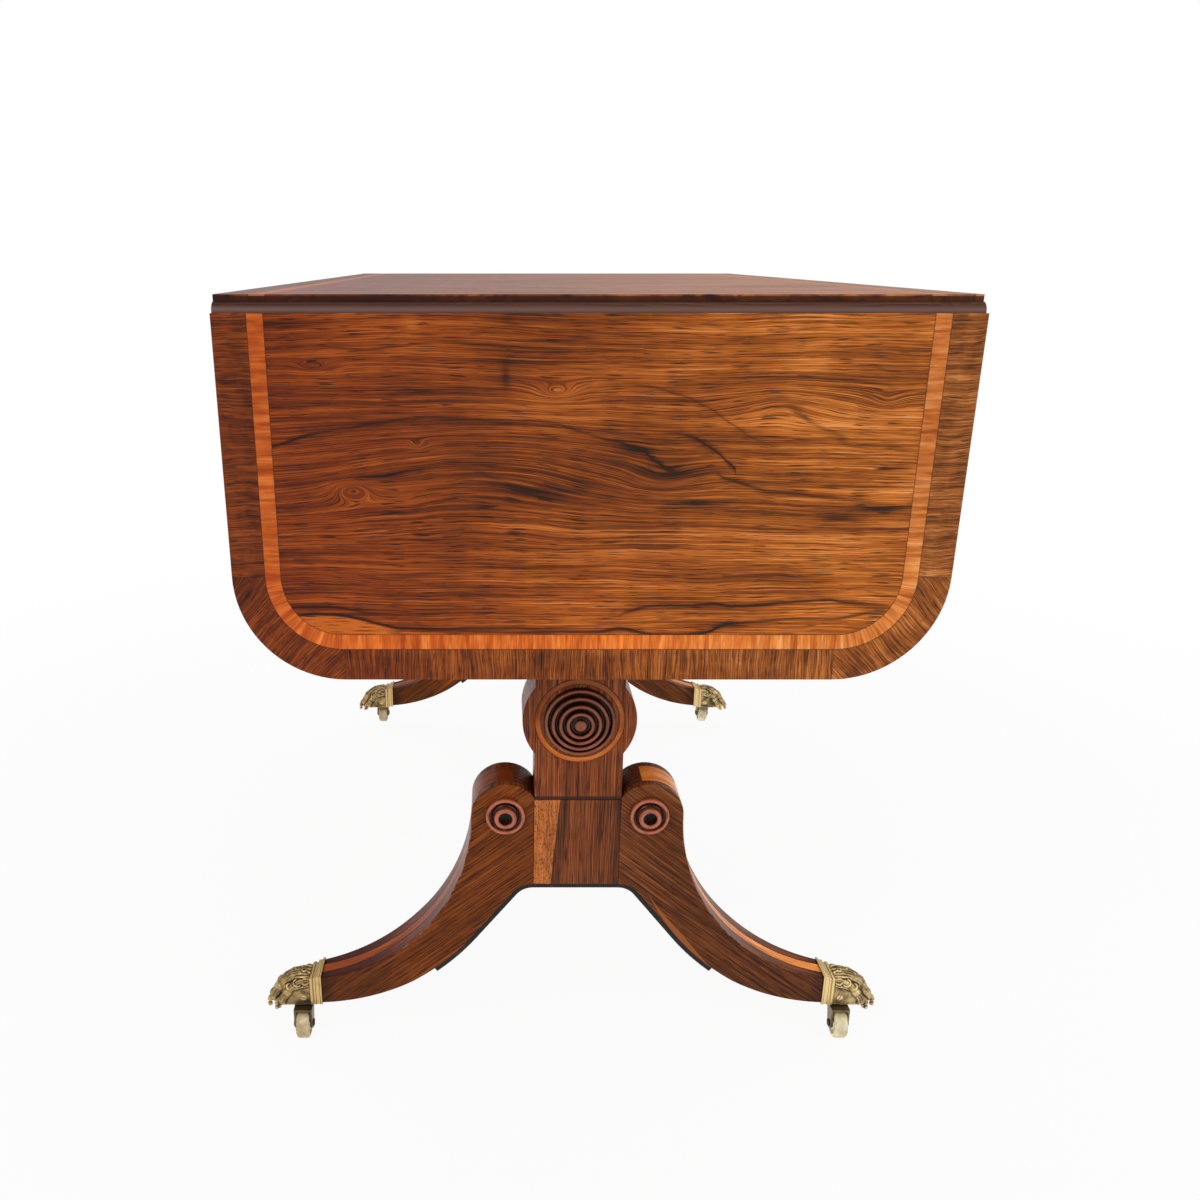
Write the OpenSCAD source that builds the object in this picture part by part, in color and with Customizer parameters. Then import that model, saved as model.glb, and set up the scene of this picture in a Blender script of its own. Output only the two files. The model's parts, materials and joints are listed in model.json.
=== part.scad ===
// Sofa table with two drop leaves, two drawers and two end standards on sabre legs.
// The origin is on the floor under the middle of the table. X runs across the table,
// Y along it from leaf to leaf, and Z up. Both leaves hang and both drawers are shut.

/* [Table] */
// Height from the floor to the top surface
table_h = 720; // [690:1:760]
// Length over the outer faces of the two hanging leaves
closed_l = 980; // [940:1:1100]
// Width of the top and of the leaves
top_w = 565; // [540:1:640]
// Thickness of the top and of the leaves
top_t = 17; // [15:0.5:20]

/* [Leaves] */
// Length of a leaf from its joint to its free edge
leaf_l = 285; // [240:1:300]
// Radius of the free corners of a leaf
leaf_corner_r = 86; // [60:1:110]
// Height of the square fillet above the rule joint's ovolo
fillet_h = 5; // [4:0.1:5]
// Radius of the rule joint's ovolo
ovolo_r = 7.5; // [7:0.1:8]
// Running gap of the rule joint
rule_gap = 0.3; // [0.2:0.05:0.4]

/* [Bandings] */
// Width of the crossbanded border outside the light band
border_w = 26; // [15:0.5:34]
// Width of the light band
band_w = 12.5; // [8:0.5:18]
// Depth of the bands and rings let into the surface
inlay_t = 1.2; // [0.8:0.1:2]

/* [Rule joint hinges] */
// Width of a hinge across the joint line
hinge_w = 50; // [40:1:60]
// Distance of each hinge from the middle of the leaf
hinge_x = 190; // [150:1:210]
// Length of the short flap under the top
fixed_flap_l = 36; // [28:1:38]
// Length of the long flap on the leaf
leaf_flap_l = 62; // [45:1:80]
// Thickness of the flaps
flap_t = 2; // [1.6:0.1:2.2]
// Outer radius of the knuckles
knuckle_r = 4; // [3.6:0.1:4.2]
// Radius of the hinge pin
hinge_pin_r = 1.75; // [1.5:0.05:2]

/* [Frieze] */
// Height of the frieze under the top
frieze_h = 96; // [88:1:110]
// Overhang of the top beyond the frieze at the rule joints
end_overhang = 65; // [60:1:75]
// Overhang of the top beyond the frieze on the long sides
side_overhang = 14.5; // [8:0.5:25]
// Thickness of the end and back rails
rail_t = 20; // [16:0.5:24]
// Thickness of the rails over and under the drawers
drawer_rail_t = 14; // [12:0.5:18]
// Width of the rails over and under the drawers
drawer_rail_w = 60; // [45:1:80]
// Thickness of the partition between the drawers
divider_t = 24; // [18:1:30]
// Height of the beads round the drawer and dummy fronts above the surface
bead_h = 2; // [1:0.5:3]
// Width of the beads
bead_w = 3; // [2:0.5:4]
// Height of the cross bearers under the frieze
bearer_h = 24; // [18:1:30]
// Length of the cross bearers
bearer_l = 480; // [420:1:520]

/* [Drawers] */
// Thickness of the drawer fronts
drawer_front_t = 20; // [17:0.5:22]
// Thickness of the drawer sides and backs
drawer_side_t = 9; // [7:0.5:12]
// Thickness of the drawer bottoms
drawer_bottom_t = 6; // [5:0.5:8]
// Height of the drawer sides
drawer_side_h = 58; // [45:1:62]
// Height of the bottom board over the lower edge of the sides
drawer_groove_z = 5; // [3:0.5:8]
// Depth of the grooves for the bottom board
drawer_groove_d = 4; // [2:0.5:5]
// Thickness of the dummy fronts, let into the back rail
dummy_t = 4; // [3:0.5:6]
// Depth of the drawers behind their fronts
drawer_l = 440; // [380:1:450]
// Gap round the drawer fronts
drawer_gap = 1; // [0.6:0.1:2]
// Height of the drawer runners
runner_h = 10; // [8:0.5:12]
// Width of the drawer runners
runner_w = 16; // [12:1:20]
// Distance of each knob from the middle of its front
knob_y = 118; // [90:1:140]
// Radius of a knob
knob_r = 14; // [10:0.5:17]
// Length of a knob in front of its drawer
knob_l = 26; // [20:1:32]
// Thickness of a knob's head at its edge
knob_head_t = 8; // [6:0.5:10]
// Rise of a knob's domed face
knob_rise = 3; // [1.5:0.5:5]
// Radius of a knob's neck
knob_neck_r = 6.5; // [5.5:0.5:8]
// Radius of the collar at a knob's foot
knob_collar_r = 9.5; // [8.5:0.5:12]
// Thickness of the collar
knob_collar_t = 3; // [2:0.5:5]
// Radius of a knob's spigot
knob_spigot_r = 4; // [3:0.5:5]

/* [Fly brackets] */
// Thickness of the brackets
bracket_t = 18; // [15:0.5:20]
// Height of the brackets at their knuckle
bracket_h = 76; // [64:1:84]
// Height of the brackets at their free end
bracket_tip_h = 30; // [22:1:40]
// Length of the swinging arm from its pin
bracket_l = 170; // [140:1:180]
// Distance of the bracket pins from the middle of the table
bracket_x = 190; // [180:1:205]
// Length of the fixed block from the pin
bracket_block_l = 62; // [45:1:68]
// Distance from the pin to the lowest part of an arm's ogee
bracket_ogee_x = 68; // [50:1:80]
// Length of the fixed block's end that stays clear of the knuckle
bracket_pad = 3; // [2:0.5:6]
// Radius of a bracket pin
bracket_pin_r = 2.5; // [2:0.1:3]

/* [Standards] */
// Distance from a hanging leaf's face to the face of the standard behind it
standard_inset = 80; // [70:1:90]
// Thickness of the posts, blocks and legs
standard_t = 48; // [42:1:54]
// Width of a post and of its block
post_w = 81; // [70:1:90]
// Height of the underside of the blocks
block_z = 182; // [176:1:186]
// Height of a block
block_h = 90; // [84:1:92]
// Thickness of the tenons of a standard
tenon_t = 16; // [10:0.5:20]
// Width of the tenons at a post's ends
post_tenon_w = 48; // [36:1:52]
// Length of a post's tenon in its block
post_tenon_l = 36; // [24:1:48]
// Length of a post's tenon in its bearer
bearer_tenon_l = 16; // [10:1:17]
// Length of a leg's tenon in the block
leg_tenon_l = 12; // [8:0.5:13]
// Height of a leg's tenon
leg_tenon_h = 56; // [40:1:70]
// Radius of the round ears of a post
ear_r = 51.75; // [46:0.25:56]
// Height of the centre of the ears
ear_z = 351; // [340:1:365]
// Outer radius of the light ring on the ears
ring_r = 40.75; // [38:0.25:44]
// Width of the light ring
ring_w = 5.25; // [3:0.25:7]
// Radius of the turned boss
boss_r = 32.5; // [28:0.5:34]
// Projection of the turned boss
boss_l = 13; // [9:0.5:16]
// Number of ridges turned on the boss
boss_ridges = 4; // [2:1:4]
// Distance between the ridges
boss_ridge_pitch = 5.8; // [5:0.1:6]
// Distance of the outer ridge from the boss's edge
boss_rim = 2.6; // [2.3:0.1:3.4]
// Radius of a ridge's section
boss_ridge_r = 2.2; // [1.6:0.1:2.3]
// Radius of the button in the middle of the boss
boss_button_r = 5.3; // [4:0.1:6.5]
// Radius of the boss's spigot
boss_spigot_r = 6; // [4:0.5:8]
// Length of the spigots of the boss and of the roundels
boss_spigot_l = 10; // [6:1:14]

/* [Legs] */
// Radius of the scroll at the top of a leg
scroll_r = 32; // [30:0.5:34]
// Distance of the scroll's centre from the middle of the standard
scroll_x = 67; // [66:0.5:69]
// Height of the scroll's centre
scroll_z = 255.5; // [252:0.5:258]
// Radius of the hollow outer sweep of a leg
sweep_r = 190; // [184:1:196]
// Radius of the underside of a leg
belly_r = 224.5; // [222:0.5:227]
// Height of the toe's underside
toe_z = 38.5; // [38:0.5:41]
// Distance of the toe's end face from the middle of the standard
toe_x = 250; // [246:1:254]
// Distance of the lowest point of the belly from the middle of the standard
belly_x = 275; // [272:1:278]
// Radius of the hollow where a leg meets the block
knee_r = 25; // [20:1:27]
// Width of a leg at the toe
toe_w = 31; // [28:1:34]
// Distance from the middle of the standard at which a leg starts to narrow
taper_x = 158; // [140:1:180]
// Radius of the turned roundels on the scrolls
roundel_r = 18.5; // [16:0.5:22]
// Projection of the roundels
roundel_l = 5.5; // [4:0.5:8]
// Radius of the section of a roundel's outer ring
roundel_ring_r = 2.6; // [2:0.1:3.2]
// Radius of a roundel's cup
roundel_cup_r = 11.1; // [10:0.1:12]
// Depth of the hollow in a roundel's cup
roundel_dish = 3.5; // [2:0.5:4]
// Radius of the stud in the cup
roundel_stud_r = 5.1; // [4.2:0.1:6]
// Radius of a roundel's spigot
roundel_spigot_r = 4; // [3:0.5:5]
// Width of the light band along a leg
leg_band_w = 12; // [8:0.5:16]
// Width of the light panel over a scroll
scroll_panel_w = 30; // [20:1:38]
// Thickness of the iron strap under a standard
strap_t = 5; // [3:0.5:6]
// Width of the iron strap
strap_w = 44; // [30:1:46]
// Length of the iron strap along a leg's underside, as an angle of the belly
strap_angle = 13.5; // [8:0.5:16]

/* [Stretcher] */
// Radius of the stretcher at its middle
stretcher_r = 19; // [15:0.5:22]
// Radius of the stretcher at its ends
stretcher_end_r = 12; // [9:0.5:14]
// Length of the stretcher's tenons
stretcher_tenon = 18; // [12:1:22]
// Radius of the stretcher's tenons
stretcher_tenon_r = 9; // [6:0.5:10]
// Radius of the section of the rings turned on the stretcher
stretcher_ring_r = 4; // [3:0.5:5]

/* [Castors] */
// Height of the underside of a paw cap
paw_z = 34; // [33:0.5:35]
// Distance of a castor's swivel from the middle of the standard
swivel_x = 270; // [266:1:274]
// Distance of the paw's tip from the middle of the standard
paw_tip_x = 301; // [298:1:304]
// Distance by which a wheel trails its swivel
trail = 14; // [11:0.5:15]
// Radius of a wheel
wheel_r = 15; // [13.5:0.5:15]
// Width of a wheel
wheel_w = 13; // [10:0.5:14]
// Radius of an axle
axle_r = 2.5; // [2:0.1:3]
// Thickness of a fork's cheeks
cheek_t = 2.2; // [1.8:0.1:2.6]
// Radius of a swivel pin
swivel_r = 4; // [3:0.1:4.5]
// Depth of a swivel pin in the paw cap
swivel_l = 9; // [6:0.5:9]
// Gap between a wheel and the fork's crown
crown_gap = 1; // [0.8:0.1:1.5]
// Radius of the fork's cheeks round the axle
cheek_r = 5.5; // [4.5:0.1:6]
// Overhang of a paw cap's lip round the end of the leg
lip_out = 1.5; // [1:0.1:2.2]
// Length of a paw cap's collar
collar_l = 12.5; // [10:0.5:14]
// Inset of each step of the collar's moulding
collar_step = 1.5; // [1:0.1:1.8]
// Drop of each step of the collar towards the toes
collar_drop = 2; // [1.5:0.1:2.4]
// Thickness of the cap round the leg's tenon
cap_wall = 3; // [2.5:0.1:4]
// Radius of the paw's instep, seen from the side
instep_r = 35; // [34:0.5:37]
// Radius of the arch across the paw
arch_r = 20; // [18:0.5:24]
// Radius of the paw's front, seen from above
nose_r = 19; // [18:0.5:22]
// Radius of the paw's toes
toe_r = 5; // [4.2:0.1:5.2]
// Length of a toe from its pad to its knuckle
toe_l = 17; // [14:0.5:18]
// Length of a claw
claw_l = 6.5; // [5:0.5:7]
// Radius of a claw at its root
claw_r = 3; // [2:0.1:3.5]
// Radius of the rounding of a wheel's tread
tread_r = 2.5; // [1:0.1:3]
// Radius of the hollow turned in each side of a wheel
web_recess_r = 3; // [1:0.5:3]
// Radius of the riveted ends of an axle
rivet_r = 3.7; // [3.4:0.1:4.5]

/* [Fits] */
// Radial clearance of pins and axles
pin_gap = 0.05; // [0.02:0.01:0.1]
// Clearance of glued tenons
tenon_gap = 0.2; // [0.1:0.05:0.3]
// Clearance between pieces that move past each other
slide_gap = 0.4; // [0.3:0.05:0.5]

/* [Hidden] */
$fn = 64;
// How far a cutter runs past the face that it cuts
cut = 1;

// Rule joint: the hinge axis is the centre of the ovolo
axis_z = table_h - fillet_h - ovolo_r;
axis_y = closed_l / 2 - fillet_h - ovolo_r;
under_z = table_h - top_t;
axis_drop = axis_z - under_z;
cove_r = ovolo_r + rule_gap;
knuckle_sweep_r = axis_drop + slide_gap;
knuckle_count = 3;
leaf_face_y = -closed_l / 2;
leaf_top_z = axis_z - rule_gap;

// Frieze
frieze_z = under_z - frieze_h;
frieze_y = closed_l / 2 - end_overhang;
frieze_x = top_w / 2 - side_overhang;
inner_y = frieze_y - rail_t;
back_x = -frieze_x + rail_t;
bearer_z = frieze_z - bearer_h;

// Drawers
opening_z = frieze_z + drawer_rail_t;
opening_h = frieze_h - 2 * drawer_rail_t;
opening_l = inner_y - divider_t / 2;
drawer_y = divider_t / 2 + opening_l / 2;
drawer_w = opening_l - 2 * drawer_gap;
drawer_h = opening_h - 2 * drawer_gap;
drawer_front_x = frieze_x - drawer_front_t;
drawer_box_w = drawer_w - 2 * drawer_gap;
drawer_back_x = drawer_front_x - drawer_l;
knob_z = opening_z + opening_h / 2;

// Fly brackets
bracket_y = frieze_y + slide_gap + bracket_t / 2;
bracket_clear_r = bracket_t / 2 + slide_gap;
bracket_top_z = under_z - slide_gap;
bracket_zones = 5;

// Standards
standard_y = closed_l / 2 - standard_inset - standard_t / 2;
face_y = -standard_y - standard_t / 2;
back_face_y = -standard_y + standard_t / 2;
joint_x = post_w / 2;
block_top_z = block_z + block_h;
leg_tenon_z = block_z + (block_h - leg_tenon_h) / 2;
// Distances of the turned rings from the stretcher's shoulders
stretcher_rings = [6, 26, 110];

// Legs: the sweep touches the scroll, and the belly's lowest point is at the toe
scroll_out = scroll_x + scroll_r;
sweep_x = scroll_out + sweep_r;
belly_z = toe_z + belly_r;
knee_z = block_z - knee_r;
// The straight stretch between the knee and the belly is their inner tangent
knee_dx = belly_x - joint_x;
knee_dz = belly_z - knee_z;
knee_reach = norm([knee_dx, knee_dz]);
knee_angle = atan2(knee_dz, knee_dx) + acos((knee_r + belly_r) / knee_reach);
knee_dir = [cos(knee_angle), sin(knee_angle)];
knee_end = [joint_x, knee_z] + knee_r * knee_dir;
belly_start = [belly_x, belly_z] - belly_r * knee_dir;

// Castors
toe_top_z = scroll_z - sqrt(pow(sweep_r, 2) - pow(sweep_x - toe_x, 2));
toe_under_z = belly_z - sqrt(pow(belly_r, 2) - pow(belly_x - toe_x, 2));
toe_tenon_l = 22;
toe_tenon_z = paw_z + swivel_l + cut;
toe_tenon_h = toe_top_z - toe_tenon_z - 3 * cap_wall;
toe_tenon_w = toe_w - 4 * cap_wall;
fork_gap = wheel_w / 2 + slide_gap;
fork_w = 2 * (fork_gap + cheek_t);
crown_t = paw_z - 2 * wheel_r - slide_gap - crown_gap;
crown_z = paw_z - slide_gap - crown_t;
// The collar's moulding, widest at the leg
collar_steps = 3;
collar_z = (toe_top_z + toe_under_z) / 2;
collar_h = toe_top_z - toe_under_z + 2 * lip_out;
collar_w = toe_w + 2 * lip_out;
collar_end = toe_x + collar_l;
paw_w = collar_w - 2 * (collar_steps - 1) * collar_step;
// The paw's toes side by side: distance from the cap's middle and setback of the pad
toes = [[-10.2, 7], [-3.6, 0], [3.6, 0], [10.2, 7]];
toe_lean = 28;
claw_lean = 105;
toe_pad_x = paw_tip_x - toe_r;
toe_pad_z = paw_z + toe_r + cut;

rosewood = "#4a2618";
rosewood_dark = "#2b1610";
satinwood = "#b06a2c";
oak = "#8a6a45";
mahogany = "#6b3a22";
iron = "#2a2725";
brass = "#8a7442";

// The children at the near end and again, turned by half a turn, at the far end
module both_ends() {
    children();
    rotate([0, 0, 180]) children();
}

// The children on the right and, mirrored, on the left
module both_sides() {
    children();
    mirror([1, 0, 0]) children();
}

// The children and their mirror image in Y
module both_y() {
    children();
    mirror([0, 1, 0]) children();
}

// Moves a piece from the near right corner to another: side is 1 or -1 in X, end in Y
module corner(side, end) {
    mirror([0, end > 0 ? 1 : 0, 0]) mirror([side < 0 ? 1 : 0, 0, 0]) children();
}

module all_corners() {
    for (side = [-1, 1], end = [-1, 1])
        corner(side, end) children();
}

// Extrudes a profile drawn in X and Z along Y, from y1 to y2
module along_y(y1, y2) {
    translate([0, y2, 0]) rotate([90, 0, 0]) linear_extrude(y2 - y1) children();
}

// Extrudes a profile drawn in Y and Z along X, from x1 to x2
module along_x(x1, x2) {
    translate([x1, 0, 0]) rotate([90, 0, 90]) linear_extrude(x2 - x1) children();
}

// A box between two corners
module block(low, high) {
    translate(low) cube(high - low);
}

// A cylinder along X from x1 to x2
module rod_x(r, x1, x2) {
    translate([x1, 0, 0]) rotate([0, 90, 0]) cylinder(r = r, h = x2 - x1);
}

// Places children drawn along Z on the near standard's face, pointing to the near end
module on_face(x, z) {
    translate([x, face_y, z]) rotate([90, 0, 0]) children();
}

// A blind bore in the near standard's face
module face_bore(x, z, r) {
    on_face(x, z) translate([0, 0, -boss_spigot_l - tenon_gap]) cylinder(r = r + tenon_gap, h = standard_t);
}

// A rectangle with round corners, centred
module round_rect(w, h, r) {
    square([w - 2 * r, h], center = true);
    square([w, h - 2 * r], center = true);
    for (x = [-1, 1], y = [-1, 1])
        translate([x * (w / 2 - r), y * (h / 2 - r)]) circle(r = r);
}

// Top, seen along X: a fillet over an ovolo at each end
module top_profile() {
    difference() {
        union() {
            translate([-axis_y, under_z]) square([2 * axis_y, top_t]);
            for (end = [-1, 1])
                translate([end * axis_y, axis_z]) circle(r = ovolo_r);
        }
        translate([-closed_l, under_z - top_t]) square([2 * closed_l, top_t]);
    }
}

module hinge_places() {
    for (x = [-hinge_x, hinge_x])
        translate([x, -axis_y, axis_z]) children();
}

// Room in the top for the knuckles, for the turning flap and for the fixed flap
module hinge_recess() {
    slot_x = hinge_w / 2 + slide_gap;
    rod_x(knuckle_sweep_r, -slot_x, slot_x);
    block([-slot_x, -knuckle_sweep_r, -axis_drop - cut], [slot_x, knuckle_sweep_r, 0]);
    block([-slot_x, -2 * ovolo_r, -axis_drop - cut], [slot_x, 0, slide_gap + flap_t - axis_drop]);
    block([-hinge_w / 2, 0, -axis_drop - cut], [hinge_w / 2, fixed_flap_l, flap_t - axis_drop]);
}

// The light bands on the top run along both long sides, from joint to joint
module top_bands(proud) {
    outer_x = top_w / 2 - border_w;
    both_sides()
        block([outer_x - band_w, -axis_y, table_h - inlay_t], [outer_x, axis_y, table_h + proud]);
}

module top_panel() {
    color(rosewood) difference() {
        along_x(-top_w / 2, top_w / 2) top_profile();
        both_ends() hinge_places() hinge_recess();
        top_bands(cut);
    }
}

module top_inlay() {
    color(satinwood) top_bands(0);
}

// Outline of a hanging leaf in X and Z, drawn in by a margin and raised over its upper edge
module leaf_outline(margin, rise) {
    r = leaf_corner_r - margin;
    half = top_w / 2 - margin;
    low = axis_z - leaf_l + margin;
    translate([-half, low + r]) square([2 * half, leaf_top_z + rise - low - r]);
    translate([r - half, low]) square([2 * (half - r), r]);
    for (side = [-1, 1])
        translate([side * (half - r), low + r]) circle(r = r, $fn = 96);
}

// The band of a leaf runs round its three free sides and stops at the joint
module leaf_band(proud) {
    along_y(leaf_face_y - proud, leaf_face_y + inlay_t) difference() {
        leaf_outline(border_w, 0);
        leaf_outline(border_w + band_w, cut);
    }
}

// A hanging near leaf, with the cove that rides over the ovolo
module near_leaf() {
    color(rosewood) difference() {
        along_y(leaf_face_y, leaf_face_y + top_t) leaf_outline(0, 0);
        translate([0, -axis_y, axis_z]) rod_x(cove_r, -top_w, top_w);
        hinge_places()
            block([-hinge_w / 2, axis_drop - flap_t, -leaf_flap_l], [hinge_w / 2, top_t, 0]);
        leaf_band(cut);
    }
}

module near_leaf_inlay() {
    color(satinwood) leaf_band(0);
}

module far_leaf() {
    rotate([0, 0, 180]) near_leaf();
}

module far_leaf_inlay() {
    rotate([0, 0, 180]) near_leaf_inlay();
}

// One flap of a hinge, its pin along X and its plate under the pin's level.
// The knuckles are numbered along the pin.
module hinge_flap(numbers, length) {
    pitch = hinge_w / knuckle_count;
    difference() {
        union() {
            block([-hinge_w / 2, knuckle_sweep_r, -axis_drop], [hinge_w / 2, length, flap_t - axis_drop]);
            for (i = numbers) {
                x1 = i * pitch - hinge_w / 2 + slide_gap / 2;
                x2 = x1 + pitch - slide_gap;
                rod_x(knuckle_r, x1, x2);
                block([x1, 0, -axis_drop], [x2, knuckle_sweep_r + cut, flap_t - axis_drop]);
            }
        }
        rod_x(hinge_pin_r + pin_gap, -hinge_w, hinge_w);
    }
}

module hinge_fixed_flaps() {
    color(iron) both_ends() hinge_places() hinge_flap([1], fixed_flap_l);
}

module hinge_pins() {
    color(iron) both_ends() hinge_places() rod_x(hinge_pin_r, -hinge_w / 2, hinge_w / 2);
}

// The long flap is turned down with the leaf
module near_hinge_leaf_flaps() {
    color(iron) hinge_places()
        mirror([0, 1, 0]) rotate([-90, 0, 0]) hinge_flap([0, 2], leaf_flap_l);
}

module far_hinge_leaf_flaps() {
    rotate([0, 0, 180]) near_hinge_leaf_flaps();
}

// The back rail carries two dummy fronts, let in to half their thickness
module back_rail() {
    color(mahogany) difference() {
        block([-frieze_x, -inner_y, frieze_z], [back_x, inner_y, under_z]);
        for (end = [-1, 1])
            front_place(-1, end) {
                block([-dummy_t, -drawer_w / 2, -drawer_h / 2], [cut, drawer_w / 2, drawer_h / 2]);
                knob_bores(rail_t);
            }
    }
}

// The middle of a front's face, on the right side for 1 and mirrored to the left for -1
module front_place(side, end) {
    mirror([side < 0 ? 1 : 0, 0, 0]) translate([frieze_x, end * drawer_y, knob_z]) children();
}

module near_end_rail() {
    color(mahogany) block([-frieze_x, -frieze_y, frieze_z], [frieze_x, -inner_y, under_z]);
}

module far_end_rail() {
    rotate([0, 0, 180]) near_end_rail();
}

module drawer_rails() {
    x1 = frieze_x - drawer_rail_w;
    color(mahogany) {
        block([x1, -inner_y, frieze_z], [frieze_x, inner_y, opening_z]);
        block([x1, -inner_y, opening_z + opening_h], [frieze_x, inner_y, under_z]);
    }
}

module drawer_divider() {
    half = divider_t / 2;
    x1 = frieze_x - drawer_rail_w;
    color(oak) {
        block([back_x, -half, frieze_z], [x1, half, under_z]);
        block([x1 - cut, -half, opening_z], [frieze_x, half, opening_z + opening_h]);
    }
}

// Each drawer runs on two strips, level with the lower drawer rail
module drawer_runners() {
    x2 = frieze_x - drawer_rail_w;
    color(oak) for (end = [-1, 1], y = [divider_t / 2, inner_y - runner_w])
        mirror([0, end > 0 ? 0 : 1, 0])
            block([back_x, y, opening_z - runner_h], [x2, y + runner_w, opening_z]);
}

module cross_bearers() {
    color(mahogany) both_ends() difference() {
        block([-bearer_l / 2, -standard_y - standard_t / 2, bearer_z],
            [bearer_l / 2, -standard_y + standard_t / 2, frieze_z]);
        standard_box(post_tenon_w, bearer_z - cut, bearer_tenon_l + cut, tenon_gap);
    }
}

// A tenon of the near standard, or its mortise if a gap is given
module standard_box(w, z, h, gap) {
    half_x = w / 2 + gap;
    half_y = tenon_t / 2 + gap;
    block([-half_x, -standard_y - half_y, z], [half_x, half_y - standard_y, z + h]);
}

// A drawer front or dummy front with a bead round it: x = 0 is the face of the frieze
module beaded_front(thickness) {
    half_y = drawer_w / 2;
    half_z = drawer_h / 2;
    block([-thickness, -half_y, -half_z], [0, half_y, half_z]);
    along_x(-cut, bead_h - bead_w / 2) bead_frame(0);
    along_x(bead_h - bead_w / 2, bead_h) bead_frame(bead_w / 4);
}

// The bead's outline in two steps, the outer one drawn in by the given margin
module bead_frame(margin) {
    difference() {
        square([drawer_w - 2 * margin, drawer_h - 2 * margin], center = true);
        square([drawer_w - 2 * bead_w + 2 * margin, drawer_h - 2 * bead_w + 2 * margin], center = true);
    }
}

module knob_bores(depth) {
    for (y = [-knob_y, knob_y])
        translate([0, y, 0]) rod_x(knob_spigot_r + tenon_gap, -depth - cut, bead_h + cut);
}

// A turned knob on the face, its spigot through the front
module turned_knob(spigot_l) {
    edge_r = knob_head_t / 2;
    flat_r = knob_r - edge_r;
    head_z = knob_l - knob_rise - knob_head_t;
    dome_r = (pow(flat_r, 2) + pow(knob_rise, 2)) / (2 * knob_rise);
    rotate([0, 90, 0]) rotate_extrude() {
        translate([0, -spigot_l]) square([knob_spigot_r, spigot_l + cut]);
        square([knob_neck_r, head_z + cut]);
        square([knob_collar_r, knob_collar_t]);
        translate([0, head_z]) square([flat_r, knob_head_t]);
        translate([flat_r, head_z + edge_r]) circle(r = edge_r);
        intersection() {
            translate([0, knob_l - dome_r]) circle(r = dome_r);
            translate([0, head_z]) square([flat_r, knob_l]);
        }
    }
}

module front_knobs(spigot_l) {
    for (y = [-knob_y, knob_y])
        translate([0, y, 0]) turned_knob(spigot_l);
}

module dummy_fronts() {
    color(rosewood) for (end = [-1, 1])
        front_place(-1, end) difference() {
            beaded_front(dummy_t);
            knob_bores(dummy_t);
        }
}

module dummy_knobs() {
    color(rosewood_dark) for (end = [-1, 1])
        front_place(-1, end) front_knobs(rail_t - cut);
}

module drawer_front(end) {
    color(rosewood) difference() {
        front_place(1, end) difference() {
            beaded_front(drawer_front_t);
            knob_bores(drawer_front_t);
        }
        drawer_bottom_board(end, tenon_gap);
    }
}

// Two sides and a back: the bottom slides in under the back
module drawer_box(end) {
    half = drawer_box_w / 2;
    z1 = opening_z + slide_gap;
    z2 = z1 + drawer_side_h;
    back_z = z1 + drawer_groove_z + drawer_bottom_t + tenon_gap;
    color(oak) difference() {
        translate([0, end * drawer_y, 0]) {
            both_y() block([drawer_back_x, half - drawer_side_t, z1], [drawer_front_x, half, z2]);
            block([drawer_back_x, -half, back_z], [drawer_back_x + drawer_side_t, half, z2]);
        }
        drawer_bottom_board(end, tenon_gap);
    }
}

// The bottom board stands in grooves of the sides and of the front
module drawer_bottom_board(end, gap) {
    half = drawer_box_w / 2 - drawer_side_t + drawer_groove_d + gap;
    z1 = opening_z + slide_gap + drawer_groove_z - gap;
    translate([0, end * drawer_y, 0]) block([drawer_back_x - gap, -half, z1],
        [drawer_front_x + drawer_groove_d + gap, half, z1 + drawer_bottom_t + 2 * gap]);
}

module drawer_bottom(end) {
    color(oak) drawer_bottom_board(end, 0);
}

module drawer_knobs(end) {
    color(rosewood_dark) front_place(1, end) front_knobs(drawer_front_t - cut);
}

// Plan of the arm of the near right bracket, its pin at the origin and the leaf at -Y
module arm_plan() {
    r = bracket_t / 2;
    polygon([[-bracket_l, -r], [-r, -r], [0, 0], [0, r], [-bracket_l, r]]);
}

// Plan of the fixed block, which stands against the end rail beyond the knuckle
module bracket_block_plan() {
    r = bracket_t / 2;
    pad_x = r + bracket_pad;
    back = r + slide_gap;
    polygon([[bracket_block_l, -r], [r, -r], [0, 0], [0, r], [pad_x, r], [pad_x, back],
        [bracket_block_l, back]]);
}

// One half of a wooden knuckle joint: it has fingers in the zones of one parity,
// and room for the other half's fingers in the rest
module knuckle_half(parity) {
    zone = bracket_h / bracket_zones;
    for (i = [0 : bracket_zones - 1]) {
        own = i % 2 == parity;
        low = -bracket_h + i * zone;
        gap_under = i == 0 ? 0 : slide_gap / 2;
        gap_over = i == bracket_zones - 1 ? 0 : slide_gap / 2;
        translate([0, 0, low]) linear_extrude(zone) difference() {
            children();
            if (!own) circle(r = bracket_clear_r);
        }
        if (own)
            translate([0, 0, low + gap_under])
                cylinder(r = bracket_t / 2, h = zone - gap_under - gap_over);
    }
}

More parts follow.
